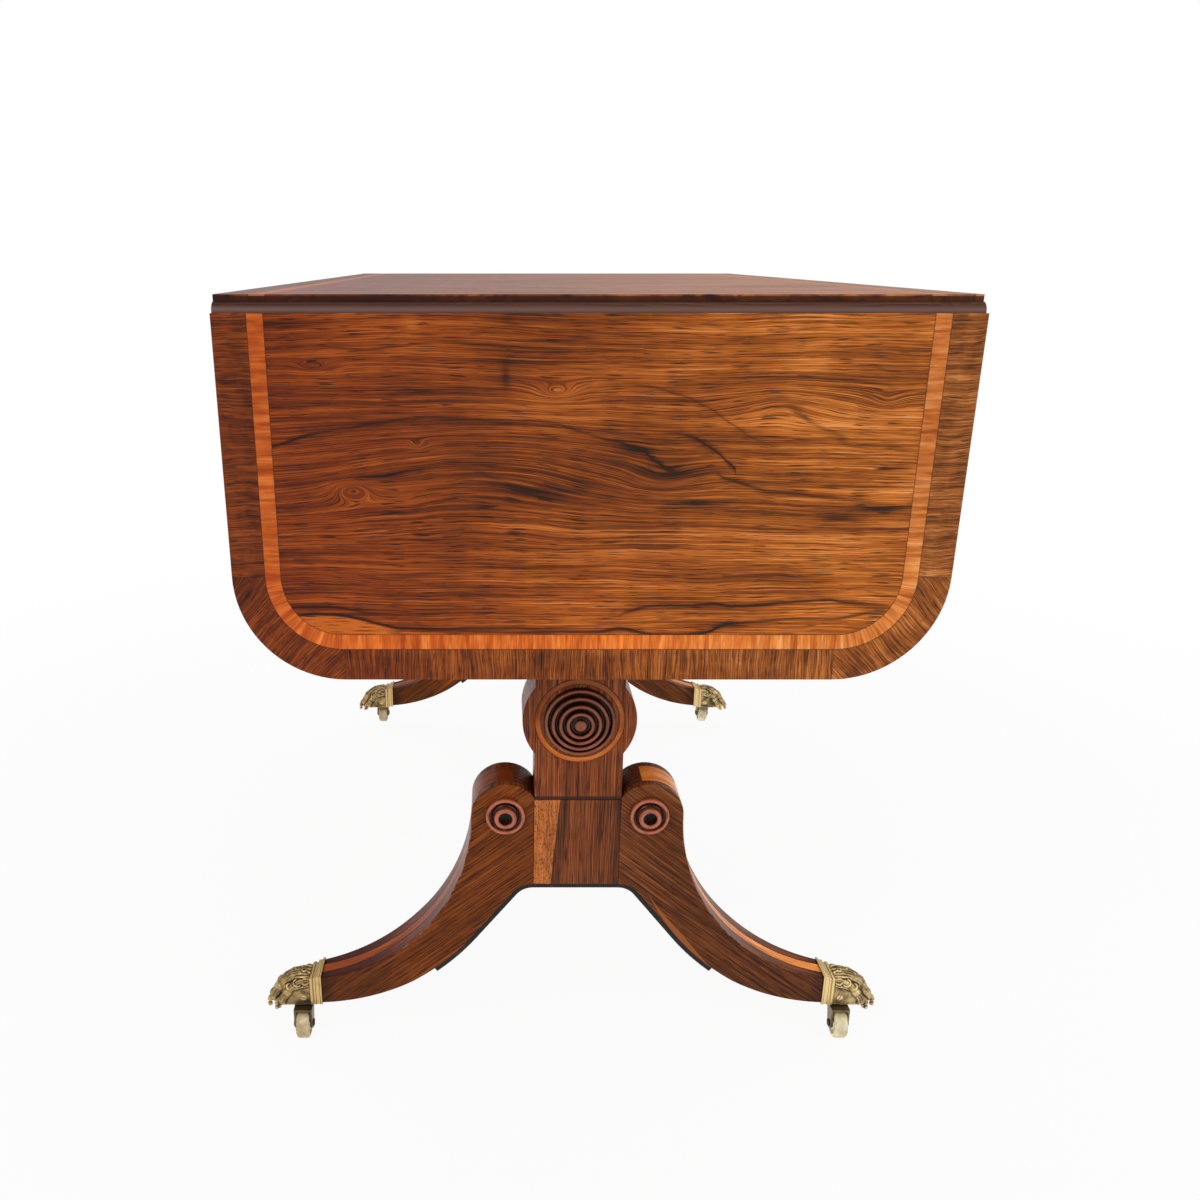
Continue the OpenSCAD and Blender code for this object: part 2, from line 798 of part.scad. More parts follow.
// Side view of an arm: its lower edge rises to the tip in an ogee
module arm_elevation() {
    r = (bracket_h - bracket_tip_h) / 2;
    ogee_x = -bracket_ogee_x;
    translate([ogee_x, -bracket_h]) square([-ogee_x + bracket_t, bracket_h]);
    translate([ogee_x, r - bracket_h]) circle(r = r);
    translate([ogee_x - r, r - bracket_h]) square([2 * r, bracket_h - r]);
    difference() {
        translate([ogee_x - 2 * r, r - bracket_h]) square([r + cut, bracket_h - r]);
        translate([ogee_x - 2 * r, r - bracket_h]) circle(r = r);
    }
    translate([-bracket_l - cut, -bracket_tip_h]) square([bracket_l, bracket_tip_h]);
}

module bracket_place() {
    translate([bracket_x, -bracket_y, bracket_top_z]) children();
}

module fly_bracket(side, end) {
    color(mahogany) corner(side, end) bracket_place() difference() {
        intersection() {
            knuckle_half(1) arm_plan();
            along_y(-bracket_t, bracket_t) arm_elevation();
        }
        bracket_pin_bore();
    }
}

module bracket_pin_bore() {
    translate([0, 0, -bracket_h - cut])
        cylinder(r = bracket_pin_r + pin_gap, h = bracket_h + 2 * cut);
}

module bracket_blocks() {
    color(mahogany) all_corners() bracket_place() difference() {
        knuckle_half(0) bracket_block_plan();
        bracket_pin_bore();
    }
}

module bracket_pins() {
    color(iron) all_corners() bracket_place()
        translate([0, 0, -bracket_h]) cylinder(r = bracket_pin_r, h = bracket_h);
}

// A post with round ears, a tenon at each end and bores for the boss and the stretcher
module post() {
    difference() {
        union() {
            along_y(face_y, back_face_y) {
                translate([-joint_x, block_top_z]) square([post_w, bearer_z - block_top_z]);
                translate([0, ear_z]) circle(r = ear_r, $fn = 96);
            }
            standard_box(post_tenon_w, block_top_z - post_tenon_l, post_tenon_l + cut, 0);
            standard_box(post_tenon_w, bearer_z - cut, bearer_tenon_l + cut - tenon_gap, 0);
        }
        ear_ring(cut);
        face_bore(0, ear_z, boss_spigot_r);
        translate([0, back_face_y + cut, ear_z]) rotate([90, 0, 0])
            cylinder(r = stretcher_tenon_r + tenon_gap, h = stretcher_tenon + tenon_gap + cut);
    }
}

module near_post() {
    color(rosewood) post();
}

module far_post() {
    color(rosewood) rotate([0, 0, 180]) post();
}

module standard_blocks() {
    color(rosewood) both_ends() difference() {
        block([-joint_x, face_y, block_z], [joint_x, back_face_y, block_top_z]);
        standard_box(post_tenon_w, block_top_z - post_tenon_l - tenon_gap,
            post_tenon_l + tenon_gap + cut, tenon_gap);
        both_sides() leg_tenon_box(tenon_gap);
    }
}

module leg_tenon_box(gap) {
    half_y = tenon_t / 2 + gap;
    block([joint_x - leg_tenon_l - gap, -standard_y - half_y, leg_tenon_z - gap],
        [joint_x + cut, half_y - standard_y, leg_tenon_z + leg_tenon_h + gap]);
}

// A leg and half of its block in X and Z, without the scroll: the lower edge runs along the
// block, round the knee, straight to the belly and along it, moved down by the given amount
module leg_mass(down) {
    difference() {
        union() {
            polygon([[joint_x, block_z - down], [joint_x, scroll_z], [scroll_out, scroll_z],
                belly_start - down * knee_dir, knee_end - down * knee_dir]);
            intersection() {
                translate([belly_x, belly_z]) circle(r = belly_r + down, $fn = 200);
                translate([knee_end[0], 0]) square([toe_x - knee_end[0], scroll_z]);
            }
        }
        translate([joint_x, knee_z]) circle(r = knee_r - down);
    }
}

// Side of a leg: a scroll over a sabre curve between the hollow sweep and the belly
module leg_profile() {
    difference() {
        union() {
            leg_mass(0);
            intersection() {
                translate([scroll_x, scroll_z]) circle(r = scroll_r);
                translate([joint_x, 0]) square([scroll_out, table_h]);
            }
        }
        translate([sweep_x, scroll_z]) circle(r = sweep_r, $fn = 200);
    }
}

// Plan of a leg: full width to the start of its taper, then narrowing to the toe
module leg_plan() {
    full = standard_t / 2;
    toe = toe_w / 2;
    translate([0, -standard_y])
        polygon([[0, -full], [taper_x, -full], [toe_x, -toe], [toe_x, toe], [taper_x, full], [0, full]]);
}

// Light band on the hollow sweep and light panel over the scroll
module leg_inlay(proud) {
    half = leg_band_w / 2;
    panel = scroll_panel_w / 2;
    along_y(-standard_y - half, half - standard_y) intersection() {
        arc_strip([sweep_x, scroll_z], sweep_r - proud, sweep_r + inlay_t);
        translate([scroll_out - cut, 0]) square([toe_x - scroll_out + cut, scroll_z]);
    }
    along_y(-standard_y - panel, panel - standard_y) intersection() {
        arc_strip([scroll_x, scroll_z], scroll_r - inlay_t, scroll_r + proud);
        translate([joint_x, scroll_z]) square([scroll_out, scroll_r + cut]);
    }
}

module arc_strip(centre, r1, r2) {
    translate(centre) difference() {
        circle(r = r2, $fn = 200);
        circle(r = r1, $fn = 200);
    }
}

module toe_tenon(gap) {
    half = toe_tenon_w / 2 + gap;
    block([toe_x - cut, -standard_y - half, toe_tenon_z - gap],
        [toe_x + toe_tenon_l + gap, half - standard_y, toe_tenon_z + toe_tenon_h + gap]);
}

module leg(side, end) {
    color(rosewood) corner(side, end) difference() {
        union() {
            intersection() {
                along_y(face_y, back_face_y) leg_profile();
                linear_extrude(table_h) leg_plan();
            }
            leg_tenon_box(0);
            toe_tenon(0);
        }
        leg_inlay(cut);
        face_bore(scroll_x, scroll_z, roundel_spigot_r);
    }
}

module leg_inlays() {
    color(satinwood) all_corners() leg_inlay(0);
}

// Ring let into the face of an ear
module ear_ring(proud) {
    on_face(0, ear_z) translate([0, 0, -inlay_t]) difference() {
        cylinder(r = ring_r, h = inlay_t + proud, $fn = 96);
        translate([0, 0, -cut]) cylinder(r = ring_r - ring_w, h = inlay_t + proud + 2 * cut, $fn = 96);
    }
}

module ear_rings() {
    color(satinwood) both_ends() ear_ring(0);
}

// Height of the boss's dome at a radius
function dome_height(r) =
    let (dome_r = (pow(boss_r, 2) + pow(boss_l, 2)) / (2 * boss_l))
    boss_l - dome_r + sqrt(pow(dome_r, 2) - pow(r, 2));

// A turned dome with ridges round it and a button in its middle
module ear_bosses() {
    dome_r = (pow(boss_r, 2) + pow(boss_l, 2)) / (2 * boss_l);
    color(rosewood_dark) both_ends() on_face(0, ear_z) rotate_extrude() {
        translate([0, -boss_spigot_l]) square([boss_spigot_r, boss_spigot_l + cut]);
        intersection() {
            translate([0, boss_l - dome_r]) circle(r = dome_r, $fn = 200);
            square([boss_r, boss_l]);
        }
        for (i = [0 : boss_ridges - 1]) {
            r = boss_r - boss_rim - i * boss_ridge_pitch;
            intersection() {
                translate([r, dome_height(r)]) circle(r = boss_ridge_r, $fn = 32);
                square([boss_r, 2 * boss_l]);
            }
        }
        intersection() {
            translate([0, boss_l - boss_button_r / 2]) circle(r = boss_button_r, $fn = 32);
            square([boss_button_r, 2 * boss_l]);
        }
    }
}

// A turned roundel: a ring, a groove and a cup round a stud
module roundel() {
    base_t = roundel_l - roundel_ring_r;
    ring_at = roundel_r - roundel_ring_r;
    dish_r = (pow(roundel_cup_r, 2) + pow(roundel_dish, 2)) / (2 * roundel_dish);
    rotate_extrude() {
        translate([0, -boss_spigot_l]) square([roundel_spigot_r, boss_spigot_l + cut]);
        square([ring_at, base_t]);
        intersection() {
            translate([ring_at, base_t]) circle(r = roundel_ring_r, $fn = 32);
            square([roundel_r, roundel_l]);
        }
        difference() {
            square([roundel_cup_r, roundel_l]);
            translate([0, roundel_l + dish_r - roundel_dish]) circle(r = dish_r, $fn = 96);
        }
        square([roundel_stud_r, roundel_l - cut]);
    }
}

module scroll_roundels() {
    color(rosewood_dark) all_corners() on_face(scroll_x, scroll_z) roundel();
}

// Half of the strap that ties a standard's legs together, bent along their undersides
module strap_profile() {
    end_angle = 180 + knee_angle + strap_angle;
    end_dir = [cos(end_angle), sin(end_angle)];
    reach = 2 * belly_r;
    difference() {
        union() {
            translate([-cut, block_z - strap_t]) square([joint_x + 2 * cut, 2 * strap_t]);
            leg_mass(strap_t);
        }
        leg_mass(0);
        translate([-2 * cut, block_z]) square([joint_x + 2 * cut, block_h]);
        translate([belly_x, belly_z]) polygon([[0, 0], reach * end_dir, [reach, -reach], [reach, 0]]);
    }
}

module iron_straps() {
    half = strap_w / 2;
    color(iron) both_ends() both_sides()
        along_y(-standard_y - half, half - standard_y) strap_profile();
}

// Radius of the stretcher at a distance from the middle, as a share of its half length
function stretcher_radius(share) =
    stretcher_end_r + (stretcher_r - stretcher_end_r) * pow(cos(90 * share), 1.2);

module stretcher() {
    half = standard_y - standard_t / 2;
    steps = 10;
    color(rosewood) translate([0, 0, ear_z]) rotate([90, 0, 0]) rotate_extrude() {
        translate([0, -half - stretcher_tenon]) square([stretcher_tenon_r, 2 * (half + stretcher_tenon)]);
        polygon([[0, -half], for (i = [-steps : steps]) [stretcher_radius(abs(i) / steps), half * i / steps],
            [0, half]]);
        for (end = [-1, 1], ring = stretcher_rings) {
            ring_y = half - ring;
            translate([stretcher_radius(ring_y / half), end * ring_y])
                circle(r = stretcher_ring_r, $fn = 24);
        }
    }
}

// Collar of a paw cap: each step is smaller than the one before it and lower
module paw_collar() {
    for (i = [0 : collar_steps - 1]) {
        w = collar_w - 2 * i * collar_step;
        h = collar_h - i * collar_step;
        along_x(toe_x + i * collar_l / collar_steps, collar_end)
            translate([-w / 2, collar_z - i * collar_drop - h / 2]) square([w, h]);
    }
}

// A paw's body: an instep that falls in an arc to the toes, flat cheeks, an arched top
// and a round front
module paw_body() {
    half = paw_w / 2;
    arch_z = paw_z + instep_r - cut - arch_r;
    nose_x = toe_pad_x - nose_r;
    intersection() {
        translate([0, 0, paw_z - cut]) linear_extrude(instep_r + 2 * cut) {
            translate([nose_x, 0]) circle(r = nose_r, $fn = 96);
            translate([toe_x, -paw_w]) square([nose_x - toe_x, 2 * paw_w]);
        }
        along_y(-half, half) intersection() {
            translate([swivel_x - cut, paw_z - cut]) circle(r = instep_r, $fn = 96);
            translate([collar_end - 2 * cut, paw_z]) square([toe_pad_x - collar_end, instep_r]);
        }
        along_x(toe_x, paw_tip_x) {
            translate([-half, paw_z]) square([paw_w, arch_z - paw_z]);
            intersection() {
                translate([0, arch_z]) circle(r = arch_r, $fn = 64);
                translate([-half, arch_z - cut]) square([paw_w, instep_r]);
            }
        }
    }
}

// A cast paw: a square collar with a flared lip, the paw's body and four clawed toes
module paw_cap() {
    translate([0, -standard_y, 0]) {
        paw_collar();
        paw_body();
        for (toe = toes)
            translate([toe_pad_x - toe[1], toe[0], toe_pad_z]) paw_toe();
    }
}

// One toe, its pad at the origin: it leans back to its knuckle and its claw points down
module paw_toe() {
    rotate([0, -toe_lean, 0]) {
        sphere(r = toe_r, $fn = 40);
        cylinder(r = toe_r, h = toe_l, $fn = 40);
        translate([0, 0, toe_l]) sphere(r = toe_r, $fn = 40);
    }
    rotate([0, claw_lean, 0]) translate([0, 0, toe_r - cut])
        cylinder(r1 = claw_r, r2 = claw_r / 2, h = claw_l - cut, $fn = 24);
}

module paw_caps() {
    color(brass) all_corners() difference() {
        paw_cap();
        toe_tenon(tenon_gap);
        translate([swivel_x, -standard_y, paw_z - cut]) cylinder(r = swivel_r + pin_gap, h = swivel_l + cut);
    }
}

// A fork, drawn with its swivel pin on the Z axis and its wheel towards -Y
module fork_body() {
    half = fork_w / 2;
    difference() {
        union() {
            translate([0, 0, crown_z]) linear_extrude(crown_t) {
                circle(r = half);
                translate([-half, -trail - cheek_r]) square([fork_w, trail + cheek_r]);
            }
            both_sides() along_x(fork_gap, half) {
                translate([-trail, wheel_r]) circle(r = cheek_r);
                polygon([[-trail - cheek_r, wheel_r], [cheek_r - trail, wheel_r],
                    [-cheek_r / 2, crown_z + crown_t], [-trail - cheek_r, crown_z + crown_t]]);
            }
            cylinder_from(swivel_r, crown_z, paw_z + swivel_l - slide_gap);
        }
        translate([0, -trail, wheel_r]) rod_x(axle_r + pin_gap, -fork_w, fork_w);
    }
}

module cylinder_from(r, z1, z2) {
    translate([0, 0, z1]) cylinder(r = r, h = z2 - z1);
}

module castor_place(side, end) {
    corner(side, end) translate([swivel_x, -standard_y, 0]) children();
}

module fork(side, end) {
    color(brass) castor_place(side, end) fork_body();
}

// A cast wheel with a rounded tread and a dished web
module wheel(side, end) {
    half = wheel_w / 2;
    hub_r = axle_r + pin_gap;
    color(brass) castor_place(side, end) translate([0, -trail, wheel_r]) rotate([0, 90, 0])
        rotate_extrude() difference() {
            union() {
                translate([hub_r, -half]) square([wheel_r - tread_r - hub_r, wheel_w]);
                translate([wheel_r / 2, tread_r - half]) square([wheel_r / 2, wheel_w - 2 * tread_r]);
                for (rim = [-1, 1])
                    translate([wheel_r - tread_r, rim * (half - tread_r)]) circle(r = tread_r, $fn = 32);
            }
            for (rim = [-1, 1])
                translate([(wheel_r + hub_r) / 2, rim * (half + web_recess_r / 2)])
                    circle(r = web_recess_r, $fn = 32);
        }
}

module axle(side, end) {
    color(iron) castor_place(side, end) translate([0, -trail, wheel_r]) {
        rod_x(axle_r, -fork_w / 2 - cut, fork_w / 2 + cut);
        both_sides() rod_x(rivet_r, fork_w / 2, fork_w / 2 + cut);
    }
}

top_panel();
top_inlay();
near_leaf();
near_leaf_inlay();
far_leaf();
far_leaf_inlay();
hinge_fixed_flaps();
hinge_pins();
near_hinge_leaf_flaps();
far_hinge_leaf_flaps();
back_rail();
drawer_rails();
near_end_rail();
far_end_rail();
drawer_divider();
drawer_runners();
cross_bearers();
dummy_fronts();
dummy_knobs();
drawer_front(-1);  // near_drawer_front
drawer_box(-1);  // near_drawer_box
drawer_bottom(-1);  // near_drawer_bottom
drawer_knobs(-1);  // near_drawer_knobs
drawer_front(1);  // far_drawer_front
drawer_box(1);  // far_drawer_box
drawer_bottom(1);  // far_drawer_bottom
drawer_knobs(1);  // far_drawer_knobs
fly_bracket(-1, -1);  // near_left_bracket
fly_bracket(1, -1);  // near_right_bracket
fly_bracket(-1, 1);  // far_left_bracket
fly_bracket(1, 1);  // far_right_bracket
bracket_blocks();
bracket_pins();
near_post();
far_post();
standard_blocks();
leg(-1, -1);  // near_left_leg
leg(1, -1);  // near_right_leg
leg(-1, 1);  // far_left_leg
leg(1, 1);  // far_right_leg
ear_rings();
ear_bosses();
scroll_roundels();
leg_inlays();
iron_straps();
stretcher();
paw_caps();
fork(-1, -1);  // near_left_fork
fork(1, -1);  // near_right_fork
fork(-1, 1);  // far_left_fork
fork(1, 1);  // far_right_fork
wheel(-1, -1);  // near_left_wheel
wheel(1, -1);  // near_right_wheel
wheel(-1, 1);  // far_left_wheel
wheel(1, 1);  // far_right_wheel
axle(-1, -1);  // near_left_axle
axle(1, -1);  // near_right_axle
axle(-1, 1);  // far_left_axle
axle(1, 1);  // far_right_axle
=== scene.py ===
"""Finishes, turned ornaments, cast paws and small fittings of a sofa table with hanging leaves."""

import json
import logging
import math
from dataclasses import dataclass
from enum import Enum
from typing import Callable, Iterable, Mapping, Optional, Sequence, Union

import bmesh
import bpy
from mathutils import Matrix, Vector


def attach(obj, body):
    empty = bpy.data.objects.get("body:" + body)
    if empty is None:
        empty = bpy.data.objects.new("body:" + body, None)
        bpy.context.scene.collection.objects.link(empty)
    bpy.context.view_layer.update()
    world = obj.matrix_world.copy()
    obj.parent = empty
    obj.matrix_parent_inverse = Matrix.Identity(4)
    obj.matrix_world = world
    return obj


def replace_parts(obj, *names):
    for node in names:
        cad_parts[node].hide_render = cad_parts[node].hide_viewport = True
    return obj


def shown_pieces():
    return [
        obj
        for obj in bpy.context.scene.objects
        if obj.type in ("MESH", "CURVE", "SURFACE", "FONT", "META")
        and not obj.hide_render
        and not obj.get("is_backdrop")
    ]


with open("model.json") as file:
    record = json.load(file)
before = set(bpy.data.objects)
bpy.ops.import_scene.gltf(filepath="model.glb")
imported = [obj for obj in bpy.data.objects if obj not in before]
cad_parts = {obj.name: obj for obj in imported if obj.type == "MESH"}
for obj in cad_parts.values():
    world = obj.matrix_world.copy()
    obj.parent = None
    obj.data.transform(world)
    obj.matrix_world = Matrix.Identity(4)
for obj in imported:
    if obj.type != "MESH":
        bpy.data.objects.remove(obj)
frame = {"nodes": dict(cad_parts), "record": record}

log = logging.getLogger("sofa_table")

Colour = tuple[float, float, float]
Place = tuple[float, float, float]
Flat = tuple[float, float]
Input = Union["Value", float, int, Sequence[float]]
Inputs = Mapping[Union[int, str], Input]
Grain = tuple["Value", "Value", "Value"]
Material = bpy.types.Material
Solid = bmesh.types.BMesh

MM = 0.001
QUARTER_TURN = 1.5708
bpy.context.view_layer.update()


class Axis(Enum):
    """The direction in which the grain of a piece runs."""

    ACROSS_TABLE = (0, 1, 2)
    ALONG_TABLE = (1, 0, 2)
    UPRIGHT = (2, 0, 1)


class Corner(Enum):
    """One of the four legs: its side in X and its end in Y."""

    NEAR_LEFT = (-1, -1)
    NEAR_RIGHT = (1, -1)
    FAR_LEFT = (-1, 1)
    FAR_RIGHT = (1, 1)

    @property
    def label(self) -> str:
        """The corner's name as the nodes spell it."""
        return self.name.lower()

    @property
    def side(self) -> int:
        """1 on the right, -1 on the left."""
        return self.value[0]

    @property
    def end(self) -> int:
        """1 at the far end, -1 at the near end."""
        return self.value[1]


# Shader maths


def math_method(operation: str, swapped: bool = False) -> Callable[..., "Value"]:
    """Makes a method of Value that adds one Math node.

    Args:
        operation: What the node does.
        swapped: Whether the value stands behind the other operand.

    Returns:
        The method, which takes the other operand if the operation has one.
    """

    def method(self: "Value", *others: Input) -> "Value":
        """Adds the Math node."""
        return self.shader.math(operation, *((*others, self) if swapped else (self, *others)))

    return method


class Value:
    """A shader socket; operators on it add Math nodes, so it reads as an expression."""

    def __init__(self, shader: "Shader", socket: bpy.types.NodeSocket) -> None:
        """Keeps the socket and the shader whose nodes grow from it."""
        self.shader = shader
        self.socket = socket

    __add__ = __radd__ = math_method("ADD")
    __sub__ = math_method("SUBTRACT")
    __rsub__ = math_method("SUBTRACT", swapped=True)
    __mul__ = __rmul__ = math_method("MULTIPLY")
    __rtruediv__ = math_method("DIVIDE", swapped=True)
    __abs__ = math_method("ABSOLUTE")
    power = math_method("POWER")
    at_least = math_method("MAXIMUM")
    at_most = math_method("MINIMUM")
    sign = math_method("SIGN")
    root = math_method("SQRT")
    whole = math_method("FLOOR")

    def ease(self, low: float, high: float) -> "Value":
        """Goes smoothly from 0 at low to 1 at high; low may be the larger of the two.

        Args:
            low: Value at which the result is 0.
            high: Value at which the result is 1.

        Returns:
            A value between 0 and 1.
        """
        start, stop, first, last = (low, high, 0.0, 1.0) if low < high else (high, low, 1.0, 0.0)
        inputs = {0: self, 1: start, 2: stop, 3: first, 4: last}
        return self.shader.value("ShaderNodeMapRange", {"interpolation_type": "SMOOTHSTEP"}, inputs)

    def near(self, centre: Input, reach: float) -> "Value":
        """1 at a centre, falling smoothly to 0 at a reach on either side."""
        return abs(self - centre).ease(reach, 0.0)


def distance(a: Value, b: Value) -> Value:
    """How far a point lies from the origin of two lengths at right angles."""
    return (a * a + b * b).root()


class Shader:
    """Builds one material, or the world, from typed expressions."""

    def __init__(self, name: str, world: bool = False) -> None:
        """Starts an empty material or world of that name.

        Args:
            name: Its name.
            world: Whether it is the world.
        """
        self.material = (bpy.data.worlds if world else bpy.data.materials).new(name)
        self.material.use_nodes = True
        self.nodes = self.material.node_tree.nodes
        self.nodes.clear()
        self._position: Optional[Grain] = None

    def node(self, kind: str, settings: Mapping[str, object], inputs: Inputs) -> bpy.types.Node:
        """Adds any node but a Math node.

        Args:
            kind: The node's type name.
            settings: Its properties; "stops" are a ramp's colour stops and "curve" is how it runs
                between them.
            inputs: What its sockets hold or are linked to, by index or name.

        Returns:
            The node.
        """
        made = self.nodes.new(kind)
        for key, setting in settings.items():
            if key == "stops":
                ramp = made.color_ramp
                while len(ramp.elements) < len(setting):
                    ramp.elements.new(1.0)
                for element, (place, colour) in zip(ramp.elements, setting):
                    element.position = place
                    element.color = (*colour, 1.0)
            elif key == "curve":
                made.color_ramp.interpolation = setting
            else:
                setattr(made, key, setting)
        for key, given in inputs.items():
            socket = made.inputs[key]
            if isinstance(given, Value):
                self.material.node_tree.links.new(given.socket, socket)
            elif socket.type == "RGBA" and len(given) == 3:
                socket.default_value = (*given, 1.0)
            else:
                socket.default_value = given
        return made

    def value(
        self, kind: str, settings: Mapping[str, object], inputs: Inputs, output: Union[int, str] = 0,
    ) -> Value:
        """Adds a node and wraps one of its outputs."""
        return Value(self, self.node(kind, settings, inputs).outputs[output])

    def math(self, operation: str, *operands: Input) -> Value:
        """Adds a Math node for one operation."""
        return self.value("ShaderNodeMath", {"operation": operation}, dict(enumerate(operands)))

    def position(self) -> Grain:
        """The point's X, Y and Z in metres, at rest.

        Returns:
            Three values, made once for each material.
        """
        if self._position is None:
            self._position = self.split(self.value("ShaderNodeTexCoord", {}, {}, "Object"))
        return self._position

    def point(self) -> Value:
        """The same point as one vector."""
        return self.vector(*self.position())

    def split(self, vector: Value) -> Grain:
        """The three parts of a vector or a colour."""
        return tuple(Value(self, out) for out in self.node("ShaderNodeSeparateXYZ", {}, {0: vector}).outputs)

    def vector(self, x: Input, y: Input, z: Input) -> Value:
        """Joins three values to a vector."""
        return self.value("ShaderNodeCombineXYZ", {}, {0: x, 1: y, 2: z})

    def noise(self, vector: Value, scale: float, detail: float, rough: float) -> Value:
        """Fractal noise between 0 and 1, about 0.5 in the middle."""
        inputs = {"Vector": vector, "Scale": scale, "Detail": detail, "Roughness": rough}
        return self.value("ShaderNodeTexNoise", {}, inputs)

    def ramp(self, factor: Value, *stops: tuple[float, Colour]) -> Value:
        """A colour picked from stops by a factor."""
        return self.value("ShaderNodeValToRGB", {"stops": stops}, {0: factor})

    def mix(self, factor: Input, first: Input, second: Input, blend: str = "MIX") -> Value:
        """Mixes two colours."""
        settings = {"data_type": "RGBA", "blend_type": blend}
        return self.value("ShaderNodeMix", settings, {0: factor, 6: first, 7: second}, 2)

    def tint(self, colour: Value, by: Colour, amount: Input = 1.0) -> Value:
        """Multiplies a colour by another, as far as an amount between 0 and 1."""
        return self.mix(amount, colour, by, "MULTIPLY")

    def bump(self, height: Value, depth: float, strength: float) -> Value:
        """A normal from a height between 0 and 1 and the depth in metres that it stands for."""
        return self.value("ShaderNodeBump", {}, {"Strength": strength, "Distance": depth, "Height": height})

    def surface(self, sockets: Mapping[str, Input]) -> Material:
        """Ends the material with a Principled shader.

        Args:
            sockets: Values or links of the shader's sockets by name.

        Returns:
            The finished material.
        """
        shader = self.node("ShaderNodeBsdfPrincipled", {}, sockets)
        self.node("ShaderNodeOutputMaterial", {}, {"Surface": Value(self, shader.outputs[0])})
        return self.material


# Finishes


def grain_frame(shader: Shader, axis: Axis) -> Grain:
    """Coordinates in metres along the grain, across it and through the board."""
    place = shader.position()
    return tuple(place[i] for i in axis.value)


@dataclass(frozen=True)
class Knot:
    """An eye in the figure: where it lies, how far it reaches and how far it pushes the grain."""

    place: Flat
    reach: Flat
    push: float
    shade: float = 0.0


@dataclass(frozen=True)
class Vein:
    """A dark line in the figure.

    Each of its points gives, in millimetres, the way along and across the grain. Then it says how
    dark the line is there and, where the wood below it is paler, how pale.
    """

    points: tuple[tuple[float, ...], ...]
    width: float = 1.7

    @property
    def pale_below(self) -> bool:
        """Whether the wood is paler anywhere below the line."""
        return any(len(point) > 3 for point in self.points)

    def lay(self, shader: Shader, along: Value, across: Value) -> Grain:
        """Draws the line.

        Args:
            shader: The material.
            along: Way along the grain in metres.
            across: Way across it in metres.

        Returns:
            The height above the line in metres, its darkness and the lightness below it.
        """
        first, last = self.points[0][0], self.points[-1][0]
        low = min(point[1] for point in self.points)
        span = max(point[1] for point in self.points) - low
        rows = [(*point, 0.0)[:4] for point in self.points]
        stops = [((x - first) / (last - first), ((y - low) / span, dark, pale)) for x, y, dark, pale in rows]
        share = (along - first * MM) * (1.0 / (last - first) / MM)
        route = shader.value("ShaderNodeValToRGB", {"stops": stops, "curve": "CARDINAL"}, {0: share})
        height, dark, light = shader.split(route)
        return across - height * (span * MM) - low * MM, dark, light


# Places of a figure's five tones between its darkest and its lightest layer
TONE_STOPS = (0.14, 0.33, 0.50, 0.66, 0.86)


